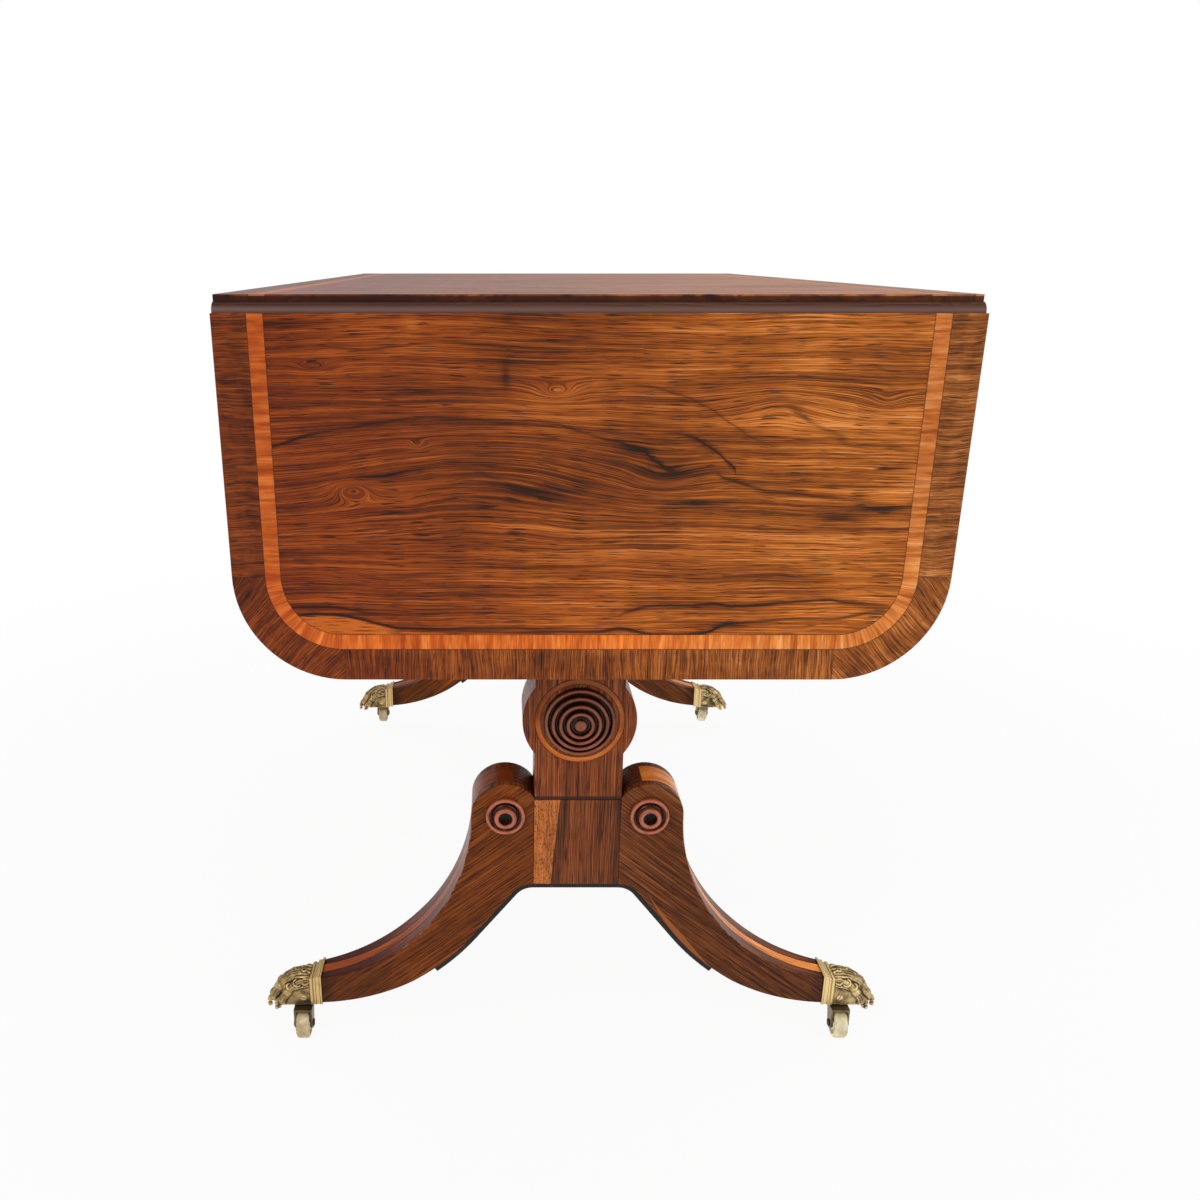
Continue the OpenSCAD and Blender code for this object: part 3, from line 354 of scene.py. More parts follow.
@dataclass(frozen=True)
class Figure:
    """How a wood's figure is drawn. Frequencies are counts per metre, widths are in metres."""

    tones: tuple[Colour, Colour, Colour, Colour, Colour]
    drift: float = 0.030
    swirl: Flat = (4.0, 9.0)
    ripple: float = 0.004
    streaks: Flat = (430.0, 17.0)
    bands: Flat = (80.0, 4.0)
    contrast: tuple[float, float, float] = (1.25, 0.9, 0.6)
    pores: float = 0.7
    pore_size: Flat = (900.0, 46.0)
    veins: float = 0.8
    knots: tuple[Knot, ...] = ()
    lines: tuple[Vein, ...] = ()

    def lay(self, shader: Shader, grain: Grain, seed: float = 0.0) -> tuple[Value, Value]:
        """Draws the figure on three grain coordinates.

        Args:
            shader: The material.
            grain: Coordinates along, across and through, in metres.
            seed: Moves the pattern to another part of the log.

        Returns:
            The colour, and a height between 0 and 1 for the open grain.
        """
        along, across, through = grain
        deep = through * 3.0 + seed
        wide = shader.vector(along * self.swirl[0] + seed, across * self.swirl[1] - seed, deep)
        fine = shader.vector(along * 17.0 - seed, across * 34.0 + seed, deep)
        layer = across + (shader.noise(wide, 1.0, 2.0, 0.5) - 0.5) * self.drift
        waver = shader.noise(fine, 1.0, 3.0, 0.6) - 0.5
        layer = layer + waver * self.ripple
        shade: Input = 0.0
        for knot in self.knots:
            a = (along - knot.place[0]) * (1.0 / knot.reach[0])
            b = (across - knot.place[1]) * (1.0 / knot.reach[1])
            swell = 1.0 / ((a * a + b * b) * 1.6 + 1.0).power(2.0)
            layer = layer + swell * knot.push
            shade = swell * knot.shade + shade
        streak_place = shader.vector(layer * self.streaks[0], along * self.streaks[1], through * 80.0 + seed)
        streaks = shader.noise(streak_place, 1.0, 3.0, 0.62)
        band_place = shader.vector(layer * self.bands[0], along * self.bands[1] + seed, through * 12.0)
        bands = shader.noise(band_place, 1.0, 4.0, 0.62)
        clouds = shader.noise(wide, 1.8, 4.0, 0.6)
        tone = (streaks - 0.5) * self.contrast[0] + (bands - 0.5) * self.contrast[1]
        tone = tone + (clouds - 0.5) * self.contrast[2] + 0.5
        if self.knots:
            tone = tone + shade
        drawn: list[Value] = []
        for line in self.lines:
            above, dark, light = line.lay(shader, along, across + waver * 0.0035)
            drawn.append(abs(above).ease(line.width * MM, line.width * 0.25 * MM) * dark)
            tone = tone - abs(above).ease(0.0050, 0.0) * dark * 0.14
            if line.pale_below:
                tone = tone + above.ease(0.0002, -0.0004) * above.ease(-0.028, -0.020) * light
        colour = shader.ramp(tone, *zip(TONE_STOPS, self.tones))
        pore_place = shader.vector(
            layer * self.pore_size[0], along * self.pore_size[1] + seed, through * 300.0,
        )
        dashes = shader.noise(pore_place, 1.0, 1.0, 0.5)
        pore = dashes.ease(0.43, 0.35) * self.pores
        if self.veins:
            flow = shader.noise(shader.vector(layer * 17.0 + seed, along * 1.6, deep), 1.0, 2.0, 0.5)
            shown = shader.noise(wide, 2.6, 1.0, 0.5).ease(0.46, 0.60)
            pore = pore.at_least(flow.near(0.52, 0.010) * shown * self.veins)
        for line in drawn:
            pore = pore.at_least(line)
        return shader.mix(pore, colour, self.tones[0]), (1.0 - pore) * 0.7 + streaks * 0.3


ROSEWOOD = Figure(
    (
        (0.020, 0.006, 0.001), (0.135, 0.026, 0.002), (0.290, 0.061, 0.003), (0.455, 0.114, 0.013),
        (0.66, 0.21, 0.045),
    ),
    drift=0.020, streaks=(1150.0, 10.0), bands=(190.0, 4.0), contrast=(1.25, 0.75, 0.5),
    pore_size=(1500.0, 42.0), veins=0.5,
)
LEAF_ROSEWOOD = Figure(
    ROSEWOOD.tones, drift=0.016, ripple=0.0030, streaks=(1150.0, 10.0), bands=(190.0, 3.5),
    contrast=(1.25, 0.75, 0.65), pore_size=(1500.0, 42.0), pores=0.85, veins=0.45,
    knots=(
        Knot((-0.209, 0.6696), (0.022, 0.0055), 0.008, -0.10),
        Knot((-0.1847, 0.5775), (0.020, 0.010), -0.020, 0.03),
        Knot((-0.1338, 0.6124), (0.010, 0.006), 0.007, 0.12),
        Knot((-0.030, 0.6514), (0.024, 0.009), 0.013, 0.10),
        Knot((-0.090, 0.590), (0.200, 0.070), -0.024, -0.03),
        Knot((0.050, 0.585), (0.050, 0.024), 0.009, -0.06),
        Knot((-0.020, 0.600), (0.110, 0.034), 0.0, -0.07),
        Knot((0.1393, 0.642), (0.070, 0.026), -0.013, 0.0),
        Knot((0.2156, 0.6447), (0.026, 0.012), 0.006, -0.02),
        Knot((-0.068, 0.663), (0.006, 0.015), 0.0, -0.24),
        Knot((-0.136, 0.699), (0.010, 0.012), 0.0, 0.20),
        Knot((-0.160, 0.588), (0.034, 0.006), 0.002, -0.20),
        Knot((-0.043, 0.577), (0.048, 0.008), 0.0, -0.20),
        Knot((0.032, 0.608), (0.018, 0.0045), 0.0, -0.27),
        Knot((0.060, 0.592), (0.018, 0.0045), 0.001, -0.27),
        Knot((0.079, 0.567), (0.030, 0.006), 0.0, -0.27),
        Knot((0.217, 0.5625), (0.036, 0.0045), 0.002, -0.36),
        Knot((0.190, 0.556), (0.030, 0.004), 0.0, -0.30),
    ),
    lines=(
        Vein((
            (-248.0, 610.2, 0.7), (-233.0, 614.1, 0.85), (-220.8, 618.4, 0.9), (-198.2, 622.7, 0.55),
            (-177.4, 626.1, 0.6), (-156.6, 629.5, 0.5), (-135.9, 632.9, 0.4), (-118.7, 633.3, 0.5),
            (-94.8, 631.2, 0.4), (-69.0, 628.7, 0.5), (-43.3, 629.5, 0.3), (-22.6, 626.1, 0.5),
            (3.1, 617.6, 0.5), (20.6, 613.3, 0.85), (38.2, 606.4, 0.9), (54.3, 595.1, 0.9),
            (66.0, 592.0, 0.0),
        )),
        Vein((
            (0.0, 657.5, 0.0), (27.4, 656.4, 0.4), (53.2, 651.4, 0.45), (74.0, 644.7, 0.45),
            (92.0, 634.0, 0.45), (112.0, 620.0, 0.4), (150.0, 606.0, 0.0),
        ), 1.3),
        Vein((
            (49.0, 621.2, 0.0), (66.9, 619.3, 0.6), (79.3, 614.1, 0.8), (95.5, 603.8, 0.8),
            (106.7, 593.3, 0.9), (108.0, 588.0, 0.0),
        )),
        Vein((
            (90.0, 590.0, 0.0), (96.7, 587.2, 0.7), (127.1, 578.3, 0.6), (162.5, 573.9, 0.7),
            (198.1, 570.4, 0.5), (240.0, 566.0, 0.0),
        )),
        Vein((
            (210.0, 593.8, 0.0), (217.0, 594.2, 0.9), (232.0, 594.6, 0.7), (246.0, 594.4, 0.0),
        ), 1.5),
        Vein((
            (-242.9, 683.5, 0.5), (-211.7, 685.2, 0.3), (-168.2, 681.9, 0.6), (-122.8, 686.8, 0.4),
            (-94.3, 686.0, 0.6), (-43.9, 684.4, 0.3), (10.0, 681.9, 0.0),
        ), 1.3),
        Vein((
            (-241.6, 641.4, 0.5), (-214.2, 643.0, 0.4), (-169.8, 643.9, 0.2), (-123.6, 644.7, 0.6),
            (-94.6, 645.1, 0.4), (-55.0, 644.7, 0.0),
        ), 1.3),
        Vein((
            (-250.0, 484.0, 0.6), (-237.0, 484.1, 0.85), (-206.5, 484.3, 0.9), (-179.8, 479.6, 0.6),
            (-156.0, 478.0, 0.0),
        ), 1.5),
        Vein((
            (-242.0, 475.6, 0.0, 0.42), (-232.2, 477.4, 0.9, 0.42), (-212.7, 478.3, 0.95, 0.42),
            (-191.9, 476.0, 0.95, 0.42), (-174.2, 471.3, 0.9, 0.42), (-156.3, 467.3, 0.9, 0.36),
            (-141.3, 466.2, 0.85, 0.22), (-115.8, 465.7, 0.8, 0.03), (-88.8, 467.0, 0.75),
            (-56.0, 466.5, 0.7), (-20.0, 464.2, 0.5), (7.8, 463.8, 0.7), (24.3, 465.8, 0.95, 0.04),
            (44.6, 461.9, 0.9), (59.3, 460.6, 0.95), (81.3, 460.9, 1.0), (95.8, 463.8, 1.0),
            (106.4, 469.6, 1.0), (124.6, 471.6, 0.8), (153.7, 473.5, 0.8), (177.4, 473.5, 0.7),
            (199.3, 474.4, 0.7), (217.0, 478.7, 0.7), (236.0, 480.4, 0.5),
        ), 2.0),
        Vein((
            (16.0, 476.0, 0.0), (25.6, 478.7, 0.5, 0.03), (43.6, 484.4, 0.8, 0.08),
            (79.9, 485.5, 0.8, 0.06), (99.8, 486.9, 1.0), (110.9, 484.8, 0.95), (141.6, 486.7, 0.9, 0.02),
            (161.5, 488.6, 0.8, 0.08), (188.6, 489.7, 0.9, 0.1), (201.5, 487.8, 0.8, 0.08),
            (216.1, 486.9, 0.7, 0.05), (238.0, 485.0, 0.0),
        )),
    ),
)
BORDER_ROSEWOOD = Figure(
    (
        (0.020, 0.006, 0.001), (0.125, 0.028, 0.003), (0.240, 0.057, 0.006), (0.350, 0.095, 0.015),
        (0.52, 0.17, 0.04),
    ),
    drift=0.010, swirl=(22.0, 12.0), ripple=0.003, streaks=(900.0, 24.0), bands=(150.0, 7.0),
    contrast=(1.45, 0.8, 0.7), pore_size=(1300.0, 70.0), veins=0.4,
)
DARK_ROSEWOOD = Figure(
    (
        (0.014, 0.004, 0.002), (0.085, 0.020, 0.004), (0.170, 0.043, 0.009), (0.255, 0.072, 0.018),
        (0.38, 0.12, 0.04),
    ),
    drift=0.010, swirl=(3.0, 8.0), ripple=0.0012, streaks=(1150.0, 9.0), bands=(170.0, 2.5),
    contrast=(1.5, 0.5, 0.5), pore_size=(1500.0, 40.0), pores=0.85, veins=0.4,
)
PATCH = Figure(
    (
        (0.10, 0.024, 0.005), (0.34, 0.088, 0.015), (0.52, 0.150, 0.032), (0.64, 0.205, 0.052),
        (0.76, 0.29, 0.10),
    ),
    drift=0.004, streaks=(420.0, 60.0), contrast=(1.0, 0.4, 0.5), pore_size=(800.0, 300.0),
    pores=0.85, veins=0.0,
)
SATINWOOD = Figure(
    (
        (0.36, 0.062, 0.004), (0.56, 0.112, 0.010), (0.74, 0.180, 0.022), (0.86, 0.250, 0.048),
        (0.95, 0.36, 0.10),
    ),
    drift=0.004, swirl=(14.0, 20.0), ripple=0.001, streaks=(420.0, 18.0), bands=(95.0, 9.0),
    contrast=(0.7, 1.25, 0.5), pores=0.3, veins=0.0,
)
MAHOGANY = Figure(
    (
        (0.045, 0.014, 0.007), (0.12, 0.036, 0.015), (0.19, 0.060, 0.025), (0.25, 0.085, 0.036),
        (0.33, 0.12, 0.055),
    ),
    drift=0.015, swirl=(2.0, 7.0), streaks=(260.0, 10.0), contrast=(0.8, 0.6, 0.4), pores=0.55, veins=0.0,
)
OAK = Figure(
    (
        (0.12, 0.065, 0.030), (0.24, 0.145, 0.072), (0.33, 0.21, 0.115), (0.40, 0.265, 0.155),
        (0.48, 0.34, 0.21),
    ),
    drift=0.012, swirl=(2.0, 7.0), streaks=(280.0, 12.0), contrast=(0.8, 0.6, 0.4), pores=0.6, veins=0.0,
)
BEECH = Figure(
    (
        (0.15, 0.072, 0.032), (0.27, 0.145, 0.066), (0.35, 0.195, 0.095), (0.42, 0.245, 0.125),
        (0.50, 0.31, 0.17),
    ),
    drift=0.010, swirl=(2.0, 7.0), streaks=(300.0, 30.0), contrast=(0.7, 0.5, 0.4), pores=0.4, veins=0.0,
)


@dataclass(frozen=True)
class Polish:
    """How much a wooden surface shines and how open its grain is left."""

    roughness: float = 0.36
    coat: float = 0.10
    coat_roughness: float = 0.12
    relief: float = 0.00012
    specular: float = 0.14

    def close(
        self, shader: Shader, colour: Value, height: Value, handled: Optional[Value] = None,
    ) -> Material:
        """Ends a wooden material.

        Args:
            shader: The material.
            colour: Its colour.
            height: Open grain, from 0 to 1.
            handled: Where the polish is worn, from 0 to 1.

        Returns:
            The finished material.
        """
        smears = shader.noise(shader.point(), 11.0, 3.0, 0.6)
        rough = smears * 0.16 + (self.roughness - 0.08)
        if handled is not None:
            rough = rough + handled * 0.15
        sockets: dict[str, Input] = {
            "Base Color": colour,
            "Roughness": rough,
            "Coat Weight": self.coat,
            "Coat Roughness": self.coat_roughness,
            "Specular IOR Level": self.specular,
            "Normal": shader.bump(height, self.relief, 0.6),
        }
        return shader.surface(sockets)


FRENCH_POLISH = Polish()
BURNISHED = Polish(roughness=0.24, coat=0.22, coat_roughness=0.10, relief=0.00010, specular=0.25)
LEG_POLISH = Polish(roughness=0.34, coat=0.05, specular=0.10)
TOP_POLISH = Polish(roughness=0.30, coat=0.06, specular=0.10)
WAXED = Polish(roughness=0.45, coat=0.12, coat_roughness=0.2, relief=0.0002)
BARE = Polish(roughness=0.68, coat=0.0, relief=0.0003)


@dataclass(frozen=True)
class BoardFinish:
    """A plain board: one figure and one polish, with the grain along an axis."""

    figure: Figure
    axis: Axis
    polish: Polish = FRENCH_POLISH
    seed: float = 0.0

    def material(self, name: str) -> Material:
        """The finished material.

        Args:
            name: The material's name.

        Returns:
            The finished material.
        """
        shader = Shader(name)
        colour, height = self.figure.lay(shader, grain_frame(shader, self.axis), self.seed)
        return self.polish.close(shader, colour, height)


@dataclass(frozen=True)
class Banding:
    """Where the bands of the top and the leaves run, in metres."""

    half_width: float = 0.2825
    low: float = 0.4225
    corner: float = 0.086
    border: float = 0.026
    band: float = 0.0125
    top_z: float = 0.720
    face_y: float = 0.490
    veneer: float = 0.0012

    @property
    def straight(self) -> float:
        """Way from the middle of a leaf's free edge to the start of its corner."""
        return self.half_width - self.corner

    @property
    def corner_end(self) -> float:
        """Way from the middle of that edge to the end of its corner."""
        return self.straight + QUARTER_TURN * self.corner

    def around_leaf(self, shader: Shader) -> tuple[Value, Value]:
        """Distance in from a leaf's free edge and the way along it, in metres.

        Args:
            shader: The material.

        Returns:
            The distance and the way.
        """
        x, _, z = shader.position()
        out_x = (abs(x) - self.straight).at_least(0.0)
        out_z = (self.low + self.corner - z).at_least(0.0)
        depth = self.corner - distance(out_x, out_z)
        turn = shader.math("ARCTAN2", out_x, out_z) * self.corner
        rise = (z - (self.low + self.corner)).at_least(0.0)
        way = (abs(x).at_most(self.straight) + turn + rise) * x.sign()
        return depth, way

    def along_top(self, shader: Shader) -> tuple[Value, Value]:
        """Distance in from the top's long sides and the way along them, in metres."""
        x, y, _ = shader.position()
        return self.half_width - abs(x), y + x.sign() * 3.0

    def weather(
        self, shader: Shader, colour: Value, deep: Colour = (0.68, 0.44, 0.12),
        pale: Colour = (1.42, 1.72, 2.3),
    ) -> Value:
        """Paints shade on the left, making a colour deeper and redder, and light on the right, making it
        paler; it also makes the colour lighter towards the bottom.

        Args:
            shader: The material.
            colour: The colour before.
            deep: What the left side, in painted shade, is multiplied by.
            pale: What the right side, in painted light, is multiplied by.

        Returns:
            The colour after.
        """
        x, _, z = shader.position()
        # Painted shade on the left, painted light on the right, and lighter towards the bottom
        colour = shader.tint(colour, deep, x.ease(0.04, -0.24) * 0.9)
        colour = shader.tint(colour, pale, x.ease(-0.02, 0.22) * 0.95)
        return shader.tint(colour, (1.26, 1.22, 1.05), z.ease(0.56, 0.44) * 0.9)

    def edge_lines(self, depth: Value, width: float = 0.0005) -> Value:
        """Thin dark lines on both sides of the light band."""
        return depth.near(self.border, width).at_least(depth.near(self.border + self.band, width))


BANDS = Banding()


@dataclass(frozen=True)
class VeneeredTop:
    """A leaf or the top: figured field, crossbanded border, plain wood on the hidden side."""

    leaf: bool
    seed: float = 0.0

    def material(self, name: str) -> Material:
        """The finished material.

        Args:
            name: The material's name.

        Returns:
            The finished material.
        """
        shader = Shader(name)
        x, y, z = shader.position()
        depth, way = BANDS.around_leaf(shader) if self.leaf else BANDS.along_top(shader)
        figure = LEAF_ROSEWOOD if self.leaf else ROSEWOOD
        grain = (x, z if self.leaf else y, y if self.leaf else z)
        field_colour, field_height = figure.lay(shader, grain, self.seed)
        border_colour, border_height = self.lay_border(shader, depth, way)
        in_border = depth.ease(BANDS.border + 0.0062, BANDS.border + 0.0060)
        colour = shader.mix(in_border, field_colour, border_colour)
        height = in_border * border_height + (1.0 - in_border) * field_height
        # Painted shade on the left and painted light on the right of the field and border
        colour = BANDS.weather(shader, colour)
        if self.leaf:
            under = abs(y).ease(BANDS.face_y - BANDS.veneer, BANDS.face_y - BANDS.veneer - 0.0002)
            back = abs(y).ease(BANDS.face_y - 0.0160, BANDS.face_y - 0.0165)
            shadow, depth_of_tone = (0.045, 0.018, 0.010), 0.55
        else:
            under = z.ease(BANDS.top_z - BANDS.veneer, BANDS.top_z - BANDS.veneer - 0.0002)
            back = z.ease(BANDS.top_z - 0.0163, BANDS.top_z - 0.0167)
            shadow, depth_of_tone = (0.030, 0.010, 0.007), 0.88
        seam = (self.seams(way, y) * in_border).at_least(BANDS.edge_lines(depth)) * 0.8
        colour = shader.mix(seam, colour, (0.012, 0.006, 0.004))
        colour = shader.mix(under * depth_of_tone, colour, shadow)
        if not self.leaf:
            # A painted sheen makes the round of the rule joint paler than the square edge over it
            colour = shader.mix(z.near(0.7090, 0.0046) * under * 0.8, colour, (0.205, 0.118, 0.098))
        inner, inner_height = MAHOGANY.lay(shader, grain, 5.0)
        colour = shader.mix(back, colour, inner)
        height = back * inner_height + (1.0 - back) * height - seam * 0.6
        return (FRENCH_POLISH if self.leaf else TOP_POLISH).close(shader, colour, height, under)

    def lay_border(self, shader: Shader, depth: Value, way: Value) -> tuple[Value, Value]:
        """The crossbanded border, each length of it a little lighter or darker than the next.

        Args:
            shader: The material.
            depth: Distance in from the edge.
            way: The way along the edge.

        Returns:
            The colour and the height of the border.
        """
        colour, height = BORDER_ROSEWOOD.lay(shader, (depth, way, way * 0.0), self.seed + 3.1)
        length = (way * 9.0 + 0.35).whole()
        shift = shader.noise(shader.vector(length * 3.7, self.seed, 0.0), 1.0, 0.0, 0.5)
        colour = shader.tint(colour, (0.66, 0.60, 0.52), shift.ease(0.35, 0.65) * 0.5)
        if self.leaf:
            x, _, z = shader.position()
            bias = (abs(x) - z) * 0.7071
            cross = (abs(x) + z) * 0.7071
            corner, _ = BORDER_ROSEWOOD.lay(shader, (bias, cross, x.sign() * 0.3), self.seed + 8.0)
            corner = shader.tint(corner, (0.72, 0.66, 0.58), 0.6)
            turned = abs(way).ease(BANDS.straight, BANDS.straight + 0.0003)
            turned = turned * abs(way).ease(BANDS.corner_end, BANDS.straight + 1.57 * BANDS.corner)
            colour = shader.mix(turned, colour, corner)
        return colour, height

    def seams(self, way: Value, y: Value) -> Value:
        """Where two lengths of the border meet.

        Args:
            way: The way along a leaf's free edge.
            y: The place along the table.

        Returns:
            1 on a seam and 0 beside it.
        """
        if not self.leaf:
            return abs(y).near(0.21, 0.0004)
        corners = abs(way).near(BANDS.straight, 0.0005)
        corners = corners.at_least(abs(way).near(BANDS.corner_end, 0.0005))
        return corners.at_least(way.near(0.0955, 0.0003) * 0.7)


@dataclass(frozen=True)
class CrossBand:
    """A light band with its grain across it and a dark line on either side."""

    leaf: bool

    def material(self, name: str) -> Material:
        """The finished material.

        Args:
            name: The material's name.

        Returns:
            The finished material.
        """
        shader = Shader(name)
        depth, way = BANDS.around_leaf(shader) if self.leaf else BANDS.along_top(shader)
        colour, height = SATINWOOD.lay(shader, (depth, way, way * 0.0), 1.7)
        stripe = shader.noise(shader.vector(way * 210.0, depth * 26.0, 0.0), 1.0, 3.0, 0.6)
        colour = shader.tint(colour, (0.66, 0.50, 0.36), stripe.ease(0.60, 0.40) * 0.75)
        length = shader.noise(shader.vector((way * 13.0).whole() * 2.3, 0.4, 0.0), 1.0, 0.0, 0.5)
        colour = shader.tint(colour, (0.80, 0.70, 0.60), length.ease(0.35, 0.65) * 0.5)
        # Painted shade on the left and painted light on the right of the band
        colour = BANDS.weather(shader, colour, (0.84, 0.72, 0.60), (0.96, 1.30, 2.1))
        line = BANDS.edge_lines(depth, 0.0007)
        colour = shader.mix(line * 0.75, colour, (0.020, 0.008, 0.004))
        return FRENCH_POLISH.close(shader, colour, height - line)


@dataclass(frozen=True)
class LegFinish:
    """A leg: grain down its length, dark borders beside its band and worn arrises."""

    corner: Corner
    half: float = 0.024
    standard_y: float = 0.386
    sweep: Place = (0.289, 0.2555, 0.190)
    belly: Place = (0.275, 0.263, 0.2245)
    toe: float = 0.250
    fall: float = 38.0

    def material(self, name: str) -> Material:
        """The finished material.

        Args:
            name: The material's name.

        Returns:
            The finished material.
        """
        shader = Shader(name)
        x, y, z = shader.position()
        seed = 2.0 * self.corner.side + 5.0 * self.corner.end
        colour, height = DARK_ROSEWOOD.lay(shader, self.falling_grain(shader), seed)
        # The border's tint differs by side; on the left legs it is much darker, a painted shade
        warm = (0.50, 0.28, 0.14) if self.corner.side < 0 else (0.66, 0.72, 1.05)
        lift = (1.10, 0.96, 0.48) if self.corner.side < 0 else (0.96, 1.0, 1.05)
        colour = shader.tint(colour, lift)
        # The hollow sweep and the back of the scroll carry borders of their own
        sweep = distance(abs(x) - self.sweep[0], z - self.sweep[1]) - self.sweep[2]
        on_sweep = sweep.ease(0.0011, 0.0006)
        offset = abs(abs(y) - self.standard_y)
        border, _ = ROSEWOOD.lay(shader, (abs(x) - z, offset, sweep), seed + 1.0)
        border = shader.tint(border, warm)
        colour = shader.mix(on_sweep, colour, border)
        line = offset.near(0.0071, 0.0012) * on_sweep
        colour = shader.mix(line * 0.8, colour, (0.016, 0.007, 0.004))
        if self.corner.side > 0:
            # Paler sapwood shows along the lower edge of this leg
            colour = shader.mix(self.sapwood(shader) * 0.85, colour, (0.42, 0.125, 0.030))
        # The leg is darker along the last stretch before the brass
        near_brass_dark = abs(x).ease(self.toe - 0.020, self.toe - 0.002)
        colour = shader.tint(colour, (0.36, 0.34, 0.42), near_brass_dark * 0.75)
        # The left legs are darker towards their toes
        colour = shader.tint(colour, (0.60, 0.60, 0.44), x.ease(0.095 - self.toe, 0.050 - self.toe))
        # Rubbed edges show the wood under the polish
        edge = offset.ease(self.half - 0.0018, self.half - 0.0004) * on_sweep
        rub = shader.noise(shader.point(), 90.0, 2.0, 0.6).ease(0.42, 0.62)
        colour = shader.mix(edge * rub * 0.55, colour, (0.46, 0.24, 0.16))
        return LEG_POLISH.close(shader, colour, height, edge)

    def falling_grain(self, shader: Shader) -> Grain:
        """Coordinates along a grain that falls to either side of the table, across it and through.

        Args:
            shader: The material.

        Returns:
            The three coordinates in metres.
        """
        x, y, z = shader.position()
        x = abs(x)
        c, s = math.cos(math.radians(self.fall)), math.sin(math.radians(self.fall))
        return x * c - z * s, x * s + z * c, y

    def sapwood(self, shader: Shader) -> Value:
        """1 on a sliver above the belly of the leg, pointed at both ends.

        Args:
            shader: The material.

        Returns:
            How much of the sliver shows.
        """
        x, _, z = shader.position()
        above = self.belly[2] - distance(abs(x) - self.belly[0], z - self.belly[1]) + 0.0002
        speckle = shader.noise(shader.vector(x, z, 0.0), 260.0, 2.0, 0.6)
        thick = abs(x).near(0.104, 0.042) * 0.0062
        return above.ease(0.0, 0.0003) * (thick - above).ease(0.0, 0.0006) * (speckle * 0.5 + 0.6)


@dataclass(frozen=True)
class BlockFinish:
    """The block between two legs: upright grain, a lighter strip let in, dark joints."""

    half: float = 0.0405
    strip: float = -0.0236
    lean: float = 0.087
    block_top: float = 0.272

    def material(self, name: str) -> Material:
        """The finished material.

        Args:
            name: The material's name.

        Returns:
            The finished material.
        """
        shader = Shader(name)
        x, y, z = shader.position()
        colour, height = DARK_ROSEWOOD.lay(shader, grain_frame(shader, Axis.UPRIGHT), 8.0)
        patch, _ = PATCH.lay(shader, grain_frame(shader, Axis.UPRIGHT), 2.0)
        waver = (shader.noise(shader.vector(0.0, 0.0, z * 30.0), 1.0, 2.0, 0.5) - 0.5) * 0.004
        edge = x * y.sign() * -1.0 - waver - (z - 0.182) * self.lean
        colour = shader.tint(colour, (1.12, 1.02, 0.92))
        shade = (edge - self.strip).ease(0.012, 0.006)
        shade = shade.at_least(abs(x).ease(self.half - 0.007, self.half - 0.002))
        colour = shader.tint(colour, (0.48, 0.48, 0.62), shade * 0.75)
        colour = shader.mix(edge.ease(self.strip, self.strip - 0.0005), colour, patch)
        seam = edge.near(self.strip, 0.0007).at_least(abs(x).ease(self.half - 0.0007, self.half - 0.0002))
        seam = seam.at_least(z.ease(self.block_top - 0.0010, self.block_top - 0.0004))
        colour = shader.mix(seam * 0.8, colour, (0.014, 0.008, 0.006))
        return FRENCH_POLISH.close(shader, colour, height)


@dataclass(frozen=True)
class PostFinish:
    """A post: upright grain, browner than the legs, with a dark bead at its foot."""

    foot: float = 0.272
    bead: float = 0.0036

    def material(self, name: str) -> Material:
        """The finished material.

        Args:
            name: The material's name.

        Returns:
            The finished material.
        """
        shader = Shader(name)
        x, _, z = shader.position()
        colour, height = DARK_ROSEWOOD.lay(shader, grain_frame(shader, Axis.UPRIGHT), 4.0)
        colour = shader.tint(colour, (1.38, 1.18, 0.95))
        worn = z.ease(self.foot + 0.022, self.foot + 0.003) * abs(x).ease(0.020, 0.040)
        colour = shader.tint(colour, (0.45, 0.38, 0.42), worn * 0.6)
        bead = z.ease(self.foot + self.bead, self.foot + self.bead - 0.0005)
        colour = shader.mix(bead * 0.9, colour, (0.030, 0.011, 0.008))
        return FRENCH_POLISH.close(shader, colour, height - bead)


@dataclass(frozen=True)
class TurnedFinish:
    """Turned rosewood: dark in its grooves and a warm brown on its ridges, which is rubbed wood and, where
    the crest colour is brightened as on the roundels, a painted highlight too.
    """

    centre: Flat
    ridges: tuple[float, ...]
    width: float = 0.0021
    crest: Colour = (0.36, 0.092, 0.036)
    button: float = 0.0

    def material(self, name: str) -> Material:
        """The finished material.

        Args:
            name: The material's name.

        Returns:
            The finished material.
        """
        shader = Shader(name)
        x, _, z = shader.position()
        a = (abs(x) if self.centre[0] > 0 else x) - self.centre[0]
        b = z - self.centre[1]
        radius = distance(a, b)
        colour, height = DARK_ROSEWOOD.lay(shader, (b, a, radius), 4.0)
        colour = shader.tint(colour, (0.16, 0.10, 0.10), 0.85)
        crest: Value = radius.near(self.ridges[0], self.width)
        for ridge in self.ridges[1:]:
            crest = crest.at_least(radius.near(ridge, self.width))
        rub = shader.noise(shader.vector(a * 60.0, b * 60.0, radius * 300.0), 1.0, 3.0, 0.6)
        crest = crest.at_least(radius.ease(self.button + 0.0012, self.button) * 0.7)
        worn = crest.ease(0.05, 0.75) * (rub.ease(0.30, 0.56) * 0.6 + 0.32)
        # The ridges take the crest colour: rubbed wood, with a painted highlight where the crest is bright
        colour = shader.mix(worn, colour, self.crest)
        return BURNISHED.close(shader, colour, height)


